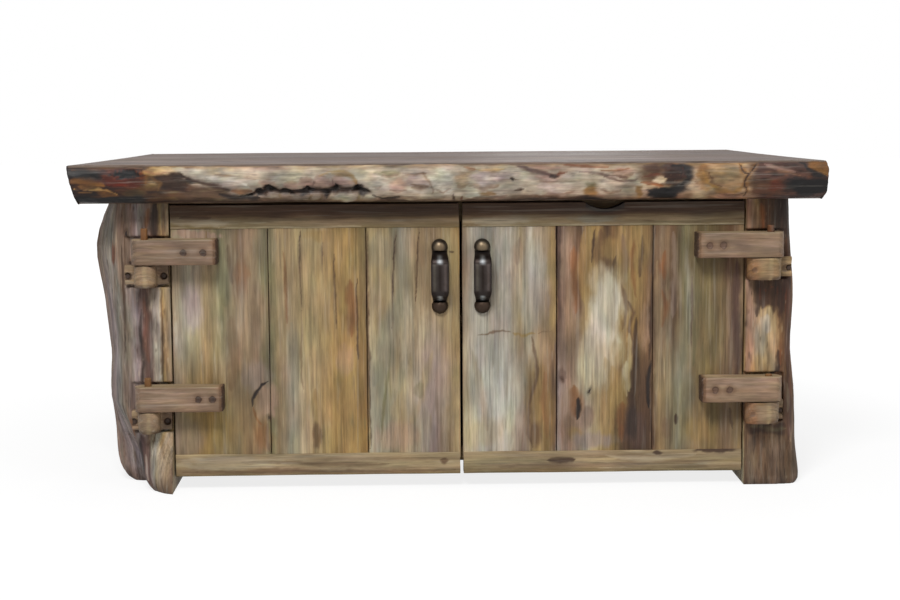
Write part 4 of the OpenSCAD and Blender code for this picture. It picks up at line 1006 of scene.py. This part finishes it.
def paint_rail(p, place, z0, z1):
    """A door rail from its lower edge z0 to its upper edge z1."""
    p.fill({z0: "olive", z0 + 12: "tan", (z0 + z1) / 2: "straw", z1 - 12: "tan", z1: "straw"})
    p.veins("bone", 5, 12, 0.28, 0.5, 5)
    p.veins("moss", 5, 14, 0.28, 0.45, 6)
    p.veins("bark", 3, 18, 0.22, 0.6, 7)
    p.veins("clay", 6, 12, 0.25, 0.4, 8)
    if place == "left_top":
        p.blot(-470, 510, 60, 9, "ash", 0.6)
        p.line([(-500, 516), (-440, 519)], 6, "umber", 0.5)
        p.line([(-430, 500), (-300, 499), (-150, 500)], 3, "bone", 0.5)
    elif place == "left_bottom":
        p.blot(-12, 52, 7, 5, "bark", 0.8)
        p.line([(-400, 54), (-250, 48), (-120, 50)], 5, "bark", 0.5)
        p.blot(-420, 50, 90, 12, "ash", 0.45)
        p.line([(-510, 34), (-200, 33), (10, 34)], 5, "bark", 0.6)
    elif place == "right_top":
        p.blot(280, 512, 44, 10, "mist", 0.75)
        p.blot(90, 508, 60, 9, "ash", 0.5)
        p.line([(190, 530), (330, 527), (480, 520)], 8, "bark", 0.5)
        p.line([(30, 499), (250, 499), (550, 500)], 3, "bone", 0.45)
    else:
        p.blot(60, 50, 44, 16, "straw", 0.8)
        p.line([(185, 49), (210, 47), (238, 49)], 7, "umber", 0.85)
        p.blot(506, 67, 34, 6, "umber", 0.85)
        p.blot(395, 62, 7, 4, "umber", 0.8)
        p.line([(60, 42), (250, 40), (520, 48)], 5, "clay", 0.5)
        p.line([(300, 56), (380, 50), (470, 58)], 6, "bone", 0.5)
    if place.endswith("top"):
        # painted shade: the upper part of each top rail darkened as in the slab's shadow
        p.lay(0.85 * ramp(p.z0 + 5 * p.noise(14, 62, 5), z1 - 36, z1 - 16), "burnt")
    p.mottle(22, 0.14, 4)
    p.tint(0.95, 0.95, 0.95)
    p.grain(0.09, 3.0, 30)
    p.lift += 0.7 * p.noise(18, 61, 7, 5) - 0.7


SCOOP_DEPTH, SCOOP_HALF, SCOOP_AT = 13, 38, 0.505


def scoop_out(piece, p):
    """The natural scoop in the upper edge of the right door's top rail, with painted shade inside it.
    """
    centre = piece.lo[0] + SCOOP_AT * (piece.hi[0] - piece.lo[0])
    scoop = SCOOP_DEPTH * np.clip(1 - ((piece.x - centre) / SCOOP_HALF) ** 2, 0, 1)
    top = piece.hi[2]
    piece.co[:, 2] -= scoop * ramp(piece.z, top - 30, top) * MM
    # painted shade on the scoop's lowered edge
    p.lay(0.9 * (scoop > 0.5) * ramp(piece.z, top - 16, top - 6), "coal")


def make_rails():
    # the seeds of the four rails' grain
    seeds = {"left_top": 34, "left_bottom": 37, "right_top": 40, "right_bottom": 43}
    for place, seed in seeds.items():
        side, which = place.split("_")
        piece = door_board(f"{side}_door_{which}_rail", f"{side}_{which}_rail", RAIL_STEP,
                           RAIL_EDGE)
        p = Paint(piece.x, piece.z, "x", seed, 4)
        paint_rail(p, place, piece.lo[2], piece.hi[2])
        if place == "right_top":
            scoop_out(piece, p)
        piece.finish(p, "rail_wood", RAIL)


# ------------------------------------------------------------------- hinges


# how far each strap's two screws are from its pin, in mm
SCREWS = {"left_upper": (74, 111), "left_lower": (96, 122),
          "right_upper": (92, 117), "right_lower": (77, 104)}


def pin_axis(place):
    lo, hi = box_mm(place + "_pin")
    return (lo[0] + hi[0]) / 2


def make_straps():
    shades = {"left_upper": 0.90, "left_lower": 0.98, "right_upper": 0.99, "right_lower": 1.09}
    for i, (place, screws) in enumerate(SCREWS.items()):
        left = place.startswith("left")
        away, dark, blotch = (1, 0.9, "umber") if left else (-1, 0.5, "plum")
        node = place + "_strap"
        lo, hi = box_mm(node)
        height = (lo[2] + hi[2]) / 2
        heads = [pin_axis(place) + away * s for s in screws]
        plugs = [(head, lo[1] + 1.6, height) for head in heads]
        piece = Piece(node, remade(node, place + "_hinge_strap", plugs))
        x, y, z = piece.x, piece.y, piece.z
        up, back = piece.facing[:, 2], piece.facing[:, 1]
        p = Paint(x + 0.35 * y, z + 0.6 * y, "x", 41 + i, 3)
        p.rgb[:] = tone("clay") * shades[place]
        p.veins("rose", 7, 9, 0.45, 0.45, 5)
        p.veins("tan", 6, 8, 0.4, 0.5, 9)
        p.veins("bark", 3, 14, 0.2, 0.5, 6)
        p.veins("straw", 5, 12, 0.2, 0.35, 7)
        # painted highlight on faces turned upward
        p.lay(0.55 * ramp(up, 0.2, 0.9), "straw")
        # painted shade along the lower edge
        p.lay(0.4 * ramp(z, lo[2] + 14, lo[2]), "bark")
        # painted highlight on faces turned up and to the front
        p.lay(0.35 * ramp(up, 0.15, 0.5) * ramp(back, -0.05, -0.4), "ash")
        tip = hi[0] - x if left else x - lo[0]
        # rust-brown tone towards the end, then painted shade on the bevelled end face
        p.lay(0.3 * ramp(tip + 6 * p.noise(9, 16, 1), 16, 3), "rust")
        p.lay(0.6 * ramp(tip + 2 * p.noise(6, 15, 1), 9, 6), "bark")
        p.lay(0.9 * ramp(tip + 1.5 * p.noise(6, 17, 1), 4, 2), "umber")
        for s, head in zip(screws, heads):
            d = np.hypot(x - head, z - height) + 2.2 * p.noise(5, 16 + s, 1)
            p.lay(0.4 * ramp(d, 15, 7), "bark")
            p.lay(dark * ramp(d, 7.5, 5.0), blotch)
            p.lay(0.8 * dark * ramp(np.abs(d - 5.4), 1.4, 0.5), "burnt")
            p.lay(0.8 * (dark - 0.4) * ramp(d, 4.0, 2.0), "coal")
        p.mottle(14, 0.14, 3)
        p.grain(0.08, 3, 16)
        p.lift += 0.9 * p.noise(12, 62, 5, 5) - 0.6
        piece.finish(p, "hinge_wood", HINGE)


# how far a knuckle's two screws are from its pin, in mm
FLANGE = 33


def make_knuckles():
    for i, place in enumerate(SCREWS):
        left = place.startswith("left")
        away, blotch = (1, 0.65) if left else (-1, 0.4)
        node = place + "_knuckle"
        lo, hi = box_mm(node)
        axis, height = pin_axis(place), (lo[2] + hi[2]) / 2 - 1
        # the right knuckles' broad bosses hide a screw under a plug
        plugs = [] if left else [(axis - FLANGE, lo[1] + 2.2, height)]
        piece = Piece(node, remade(node, place + "_hinge_block", plugs))
        x, y, z = piece.x, piece.y, piece.z
        p = Paint(x, z + 0.5 * y, "x", 51 + i, 3)
        p.rgb[:] = (tone("honey" if place == "right_upper" else "tan") + tone("clay")) / 2
        p.veins("tan", 8, 5, 0.4, 0.6, 5)
        p.veins("bark", 3.5, 9, 0.28, 0.6, 6)
        p.veins("ochre", 6, 7, 0.25, 0.45, 7)
        p.veins("ash", 5, 8, 0.2, 0.4, 8)
        depth = (y - lo[1]) / (hi[1] - lo[1])
        toward = away * (x - axis)
        # painted shade on the flanges behind the boss
        p.lay(0.55 * ramp(depth, 0.55, 0.85) * ramp(toward, 18, 30), "umber")
        # painted shade along the underside
        p.lay(0.5 * ramp(z, lo[2] + 12, lo[2] + 1), "umber")
        d = np.hypot(np.abs(toward) - FLANGE, z - height)
        if not left:
            p.lay(0.5 * ramp(toward + 4 * p.noise(8, 19, 1), 16, 34), "rust")
            d = np.where(toward > 0, d + 2.0, d)
        p.lay(blotch * ramp(d + 1.5 * p.noise(5, 17, 1), 8.4, 6), "umber")
        # painted highlight down the front crest of the boss
        crest_highlight = ramp(np.abs(toward - 2 + 2 * p.noise(9, 18, 1)), 7, 1)
        p.lay(0.5 * crest_highlight * ramp(depth, 0.4, 0.1), "straw")
        p.mottle(12, 0.16, 2)
        p.grain(0.08, 3, 12)
        p.lift += 1.2 * p.noise(12, 63, 3, 5) - 0.9
        piece.finish(p, "hinge_wood", HINGE)


def make_pins():
    for place in SCREWS:
        node = place + "_pin"
        material = DARK_DOWEL if place == "right_upper" else DOWEL
        settle(remade(node, place + "_dowel"), node, material)


# --------------------------------------------------------------------- logs


def paint_left_log(p):
    """x runs from the inner edge round the face and the side to the back."""
    p.fill({0: "tan", 15: "honey", 20: "bark", 30: "clay", 60: "lilac", 84: "clay", 110: "clay",
            150: "mist", 230: "clay", 330: "lilac", 520: "clay"},
           {0: "tan", 12: "honey", 20: "ash", 32: "bone", 42: "clay", 66: "lilac", 92: "clay",
            120: "mist", 160: "lilac", 240: "clay", 330: "clay", 520: "bark"}, (450, 370))
    p.veins("mist", 8, 8, 0.32, 0.5, 5)
    p.veins("ash", 6, 9, 0.28, 0.45, 6)
    p.veins("umber", 4, 12, 0.26, 0.65, 7, 1.0, -0.6)
    p.veins("bark", 10, 5, 0.3, 0.5, 9)
    # above the upper hinge: blue-grey and rust beside a dark seam
    p.line([(23, 552), (26, 500), (24, 470)], 10, "coal", 0.7)
    p.line([(36, 540), (40, 500)], 7, "rust", 0.7)
    p.line([(50, 545), (54, 480)], 8, "mist", 0.6)
    p.line([(66, 545), (70, 470)], 7, "plum", 0.6)
    # the dark red band between the hinges
    p.line([(46, 400), (52, 360), (42, 320), (50, 280), (40, 240), (46, 190)], 22, "plum", 0.8)
    p.line([(50, 370), (44, 330), (52, 290), (42, 250)], 9, "ember", 0.35)
    p.line([(56, 350), (60, 300), (54, 250), (58, 200)], 5, "coal", 0.6, 0.8, -0.8)
    p.line([(27, 330), (24, 270), (28, 200)], 9, "bone", 0.7)
    p.line([(14, 390), (13, 300), (15, 190)], 3, "umber", 0.55)
    p.blot(86, 280, 16, 90, "mist", 0.55, 0.9)
    p.line([(98, 470), (96, 380), (100, 250)], 5, "umber", 0.6, 0.8, -1.0)
    p.knot(84, 487, 6, 9, 0, "bark", "coal")
    p.knot(84, 436, 4, 5, 0, "bark", "coal")
    p.blot(128, 450, 10, 22, "ember", 0.7)
    p.blot(84, 118, 9, 18, "rust", 0.7)
    # the foot
    p.line([(12, 90), (9, 40), (6, 4)], 12, "bone", 0.6)
    p.line([(62, 100), (58, 60), (52, 8)], 26, "plum", 0.85)
    p.line([(66, 90), (62, 60), (60, 30)], 8, "coal", 0.7)
    p.line([(42, 96), (38, 50), (34, 10)], 8, "plum", 0.7)
    p.line([(50, 70), (47, 44), (48, 20)], 6, "ash", 0.7)
    p.line([(26, 96), (27, 50), (24, 12)], 10, "ash", 0.6)
    p.lay(0.5 * ramp(p.z0, 36, 0), "umber")


def paint_right_log(p):
    """x runs as on the left log."""
    p.fill({0: "bark", 8: "rose", 20: "tan", 40: "honey", 62: "tan", 74: "bark", 90: "umber",
            104: "bark", 150: "clay", 240: "mist", 330: "clay", 520: "bark"},
           {0: "bark", 10: "clay", 34: "bark", 60: "clay", 84: "bark", 100: "clay", 120: "bark",
            160: "mist", 240: "bark", 330: "clay", 520: "bark"}, (190, 100))
    p.veins("honey", 6, 9, 0.3, 0.45, 5)
    p.veins("ash", 7, 10, 0.22, 0.4, 6)
    p.veins("umber", 4, 12, 0.24, 0.6, 7, 1.0, -0.6)
    # above the upper hinge
    p.wash(26, 110, 470, 560, "umber", 0.8, 8)
    p.line([(32, 540), (36, 490)], 8, "rust", 0.7)
    p.wash(52, 110, 470, 560, "coal", 0.6, 8)
    p.line([(12, 545), (14, 480)], 13, "clay", 0.7)
    # dark wood under it, running down into a pale flame
    p.wash(14, 84, 345, 402, "umber", 0.9, 8)
    for x, z in ((22, 322), (34, 338), (46, 348), (56, 330), (66, 300), (74, 280)):
        p.line([(x, 385), (x + 2, z + 20), (x - 2, z)], 8, "umber", 0.85)
        p.line([(x + 5, 380), (x + 5, z + 34)], 3, "ember", 0.6)
    p.line([(44, 340), (44, 300), (38, 250), (36, 190)], 30, "straw", 0.85)
    p.line([(30, 320), (28, 260), (26, 200)], 16, "ash", 0.6)
    p.line([(42, 330), (42, 290)], 9, "ash", 0.8)
    p.blot(30, 220, 20, 34, "honey", 0.6, 0.8)
    p.line([(4, 400), (6, 300), (3, 200)], 8, "rose", 0.7)
    p.line([(74, 330), (80, 260), (70, 200)], 17, "bark", 0.8)
    p.line([(64, 262), (66, 235), (64, 205)], 8, "coal", 0.75, 0.8, -0.8)
    p.line([(72, 260), (70, 230)], 6, "rust", 0.45)
    p.line([(88, 380), (86, 300), (88, 220)], 9, "plum", 0.8)
    p.line([(92, 210), (94, 150), (92, 90)], 12, "plum", 0.7)
    p.line([(84, 200), (88, 140)], 6, "mist", 0.6)
    # the foot
    p.wash(6, 82, 98, 120, "umber", 0.85, 6)
    p.line([(10, 112), (60, 108), (84, 112)], 7, "moss", 0.5)
    p.wash(4, 104, 16, 100, "bark", 0.55, 8)
    p.veins("clay", 5, 7, 0.35, 0.6, 12, p.zone(4, 104, 4, 90))
    p.veins("umber", 4, 9, 0.35, 0.7, 13, p.zone(4, 104, 4, 100), -0.6)
    p.lay(0.4 * ramp(p.z0, 20, 0), "umber")
    p.tint(0.97, 1.01, 1.09, p.zone(14, 62, 190, 345))


def make_logs():
    for side, paint, seed in (("left", paint_left_log, 71), ("right", paint_right_log, 73)):
        node = side + "_side_slab"
        piece = Piece(node, remade(node, side + "_log"))
        face = box_mm(side + "_door_top_rail")[0][1]
        inner = piece.hi[0] if side == "left" else piece.lo[0]
        out = np.abs(piece.x - inner)
        p = Paint(out + (piece.y - face), piece.z, "z", seed, 5)
        paint(p)
        sawn = ramp(out, 4, 1) * ramp(np.abs(piece.facing[:, 0]), 0.5, 0.9)
        p.blend(tone("straw") * (0.92 + 0.14 * p.noise(9, 81, 14))[:, None], sawn)
        if side == "left":
            p.tint(0.93, 0.93, 0.97)
        else:
            p.tint(1.04, 0.98, 0.93, ramp(piece.z, 110, 190))
            p.tint(0.95, 0.98, 1.02, ramp(piece.z, 110, 60))
        p.veins("bone", 3.5, 8, 0.18, 0.6, 41)
        p.veins("umber", 3.5, 7, 0.20, 0.7, 42, 1.0, -0.6)
        p.veins("rust", 5, 6, 0.14, 0.5, 43)
        p.mottle(16, 0.24, 3)
        p.grain(0.15, 4, 10)
        # no relief on the hinge seats, the feet and the sawn inner face
        rough = 2.2 * p.noise(13, 64, 6, 5) + 1.6 * p.noise(50, 65, 3)
        bark = ramp(piece.y, face + 14, face + 30) * ramp(piece.z, 2, 12) * (1 - sawn)
        p.lift = (p.lift + np.minimum(rough - 0.8, 0)) * bark
        piece.finish(p, "log_wood", LOG)


# -------------------------------------------------------------------- pulls


# stations of the grip from its lower end up: height, reach from the door, half width
GRIP = ((-54, 3, 12), (-50, 4.5, 12.6), (-46.5, 9, 13), (-43, 17, 13.2), (-39, 24, 14),
        (-34, 29.5, 15.4), (-29, 32.5, 16.5), (-22, 33.8, 16.9), (0, 34, 16.9), (22, 33.8, 16.9),
        (29, 32.5, 16.7), (34, 29.5, 16), (39, 24, 15.2), (43, 17, 14.6), (46.5, 9, 14.4),
        (50, 4.5, 14.2), (54, 3, 14))
GRIP_THICK, CROWN = 6.5, 3.4


def grip_mesh(name, x, y, z):
    """Arched strip, thick and crowned in front, standing out from the door at y."""
    heights, reaches, widths = np.array(GRIP, float).T
    levels = np.linspace(heights[0], heights[-1], 109)
    reach, half = np.interp(levels, heights, reaches), np.interp(levels, heights, widths)
    for _ in range(2):
        reach[1:-1] = (reach[:-2] + 2 * reach[1:-1] + reach[2:]) / 4
        half[1:-1] = (half[:-2] + 2 * half[1:-1] + half[2:]) / 4
    slope = np.clip(np.gradient(reach, levels), -1.6, 1.6)
    back = np.minimum(GRIP_THICK * np.sqrt(1 + slope ** 2), reach - 0.2) - CROWN
    ring = []
    for a in np.linspace(0, 2 * np.pi, 33)[:-1]:
        c, s = np.cos(a), np.sin(a)
        across = half * np.sign(c) * abs(c) ** 0.55
        front = reach - CROWN * (1 - s) if s > 0 else reach - CROWN - back * abs(s) ** 0.5
        ring.append(np.stack([x + across, y - np.maximum(front, 0.2), z + levels], 1))
    co = np.stack(ring, 1).reshape(-1, 3) * MM
    n, m = len(levels), len(ring)
    faces = [(i * m + j, i * m + (j + 1) % m, (i + 1) * m + (j + 1) % m, (i + 1) * m + j)
             for i in range(n - 1) for j in range(m)]
    faces += [tuple(range(m))[::-1], tuple(range((n - 1) * m, n * m))]
    return mesh_object(name, co, faces)


def make_grip(side, seed):
    node = side + "_pull_grip"
    lo, hi = box_mm(node)
    x, z = (lo[0] + hi[0]) / 2, (lo[2] + hi[2]) / 2
    door = box_mm("left_door_plank_inner")[0][1]
    piece = Piece(node, grip_mesh(side + "_cast_grip", x, door, z))
    p = Paint(piece.x - x, piece.z - z, "z", seed, 1)
    off, up = np.abs(p.x0), np.abs(p.z0)
    p.rgb[:] = (45, 39, 37)
    # painted reflections: a dark stripe down the middle of the body, paler flanks, and dark flanks at
    # the upper bend
    p.lay(0.85 * ramp(np.abs(p.x0 + 0.5), 5, 2.5) * ramp(up, 28, 18), "coal")
    p.lay(0.35 * ramp(np.abs(p.x0 + 10), 5, 1) * ramp(up, 30, 22), "mist")
    p.lay(0.35 * ramp(np.abs(p.x0 - 10), 5, 1) * ramp(up, 30, 22), "lilac")
    p.lay(0.8 * ramp(np.abs(up - 34), 10, 5) * ramp(off, 6, 10), "coal")
    p.lay(0.5 * ramp(up, 46, 49), "moss")
    # painted highlights at both bends
    for k, height, rx, rz, noise_seed in ((0.6, 33, 5, 9, 3), (1.0, -40, 6, 6, 4)):
        d = np.hypot(p.x0 / rx, (p.z0 - height) / rz) + 0.2 * p.noise(4, noise_seed, 1)
        p.lay(k * ramp(d, 1.2, 0.6), "silver")
    piece.finish(p, "dark_bronze", BRONZE)


def make_domes(side, seed):
    node = side + "_pull_domes"
    piece = Piece(node, remade(node, side + "_cast_domes"))
    middle = (piece.lo[2] + piece.hi[2]) / 2
    upper = ramp(piece.z, middle - 1, middle + 1)
    p = Paint(piece.x, piece.z, "z", seed, 1)
    p.rgb[:] = tone("pewter") * 0.72
    # painted highlight on the front of the upper dome
    p.lay(0.6 * ramp(piece.facing[:, 1], -0.6, -0.97) * upper, "tan")
    p.lay(0.6 * (1 - upper), "umber")
    # painted shade where the domes meet the door
    p.lay(0.5 * ramp(piece.y, piece.hi[1] - 24, piece.hi[1] - 18), "coal")
    piece.finish(p, "dark_bronze", BRONZE)


def make_pulls():
    for side, seed in (("left", 91), ("right", 93)):
        make_grip(side, seed)
        make_domes(side, seed + 1)


# --------------------------------------------------- inside and small metal


EASE = 0.8 * MM


def eased(node, material):
    """A copy of an inner board with its edges eased."""
    obj = bm_object(node + "_eased", welded(node))
    bevel = obj.modifiers.new("eased", "BEVEL")
    bevel.width, bevel.segments, bevel.limit_method = EASE, 2, "ANGLE"
    settle(obj, node, material)


def dress_inside():
    """The boards and cleats inside get eased edges; the metal keeps its CAD shape."""
    boards = {"bottom_board": INNER_X, "shelf_board": INNER_X, "back_board": INNER_Z,
              "top_cleat": INNER_X, "front_top_rail": INNER_X, "back_top_rail": INNER_X}
    metal_parts = ("screws", "nails", "catch", "strike")
    for node, obj in list(frame["nodes"].items()):
        if any(word in node for word in metal_parts):
            obj.data.materials.clear()
            obj.data.materials.append(STEEL)
            continue
        material = next((m for word, m in boards.items() if word in node), None)
        if material:
            eased(node, material)


# -------------------------------------------------------------------- stage


LENS, SENSOR = 71.98, 36
YAW, PITCH, ROLL = (math.radians(a) for a in (-1.3325, -6.866, 0.371))
CAMERA_AT = (-0.0752, -3.5772, 0.7651)
WORLD_LIGHT = 0.26
FLOOR_HALF, FLOOR_TONE = 14, 0.82


def make_camera():
    data = bpy.data.cameras.new("camera")
    data.lens, data.sensor_width = LENS, SENSOR
    data.clip_start, data.clip_end = 0.1, 60
    cam = link("camera", data)
    turn = Matrix.Identity(3)
    for angle, axis in ((YAW, "Z"), (PITCH, "X"), (ROLL, "Y")):
        turn = turn @ Matrix.Rotation(angle, 3, axis)
    right, ahead, up = (turn @ Vector(v) for v in ((1, 0, 0), (0, 1, 0), (0, 0, 1)))
    m = Matrix((right, up, -ahead)).transposed().to_4x4()
    m.translation = Vector(CAMERA_AT)
    cam.matrix_world = m
    bpy.context.scene.camera = cam


def lamp(name, place, target, size, power):
    data = bpy.data.lights.new(name, "AREA")
    data.shape, data.size, data.energy = "DISK", size, power
    obj = link(name, data)
    obj.location = place
    obj.rotation_euler = (Vector(target) - Vector(place)).to_track_quat("-Z", "Y").to_euler()


def seen(t):
    """1 for what the camera, metal and glass see."""
    path = t.node("LightPath").outputs
    both = t.math("MAXIMUM", path["Is Camera Ray"], path["Is Glossy Ray"])
    return t.math("MAXIMUM", both, path["Is Transmission Ray"])


def make_floor():
    """Pale floor, which fades to the white of the backdrop away from the object's shadow."""
    s = FLOOR_HALF
    data = bpy.data.meshes.new("floor")
    data.from_pydata([(-s, -s, 0), (s, -s, 0), (s, s, 0), (-s, s, 0)], [], [(0, 1, 2, 3)])
    t = Tree(bpy.data.materials.new("pale_floor"))
    t.feed(t.shader, "Base Color", (FLOOR_TONE, FLOOR_TONE, FLOOR_TONE, 1))
    t.feed(t.shader, "Roughness", 1.0)
    t.feed(t.shader, "Specular IOR Level", 0.0)
    glow = t.node("Emission", None, Color=(1, 1, 1, 1), Strength=1.1)
    away = t.node("VectorMath", {"operation": "LENGTH"}, i0=t.node("TexCoord").outputs["Object"])
    share = t.math("MULTIPLY", seen(t), t.span(away.outputs["Value"], 0.7, 2.2, 0.74, 0.97))
    mix = t.node("MixShader", None, i0=share, i1=t.shader.outputs[0], i2=glow.outputs[0])
    t.feed(t.tree.nodes["Material Output"], "Surface", mix.outputs[0])
    data.materials.append(t.owner)
    link("floor", data)


def make_world():
    """White where it is seen, and a dimmer light on the object."""
    world = bpy.context.scene.world = bpy.data.worlds.new("studio")
    t = Tree(world, "Background")
    t.feed(t.shader, "Color", (1, 1, 1, 1))
    t.feed(t.shader, "Strength", t.span(seen(t), 0.0, 1.0, WORLD_LIGHT, 1.0))


def make_stage():
    make_camera()
    make_floor()
    make_world()
    lamp("key", (-0.6, -2.7, 2.9), (0, -0.2, 0.35), 1.1, 105)
    lamp("back", (0.5, 3.2, 0.5), (0, 0.2, 0.35), 0.8, 30)
    lamp("fill", (2.2, -2.6, 2.2), (0, -0.2, 0.3), 1.4, 18)
    bpy.context.scene.view_settings.view_transform = "Standard"


make_slab()
make_planks()
make_rails()
make_straps()
make_knuckles()
make_pins()
make_logs()
make_pulls()
dress_inside()
make_stage()
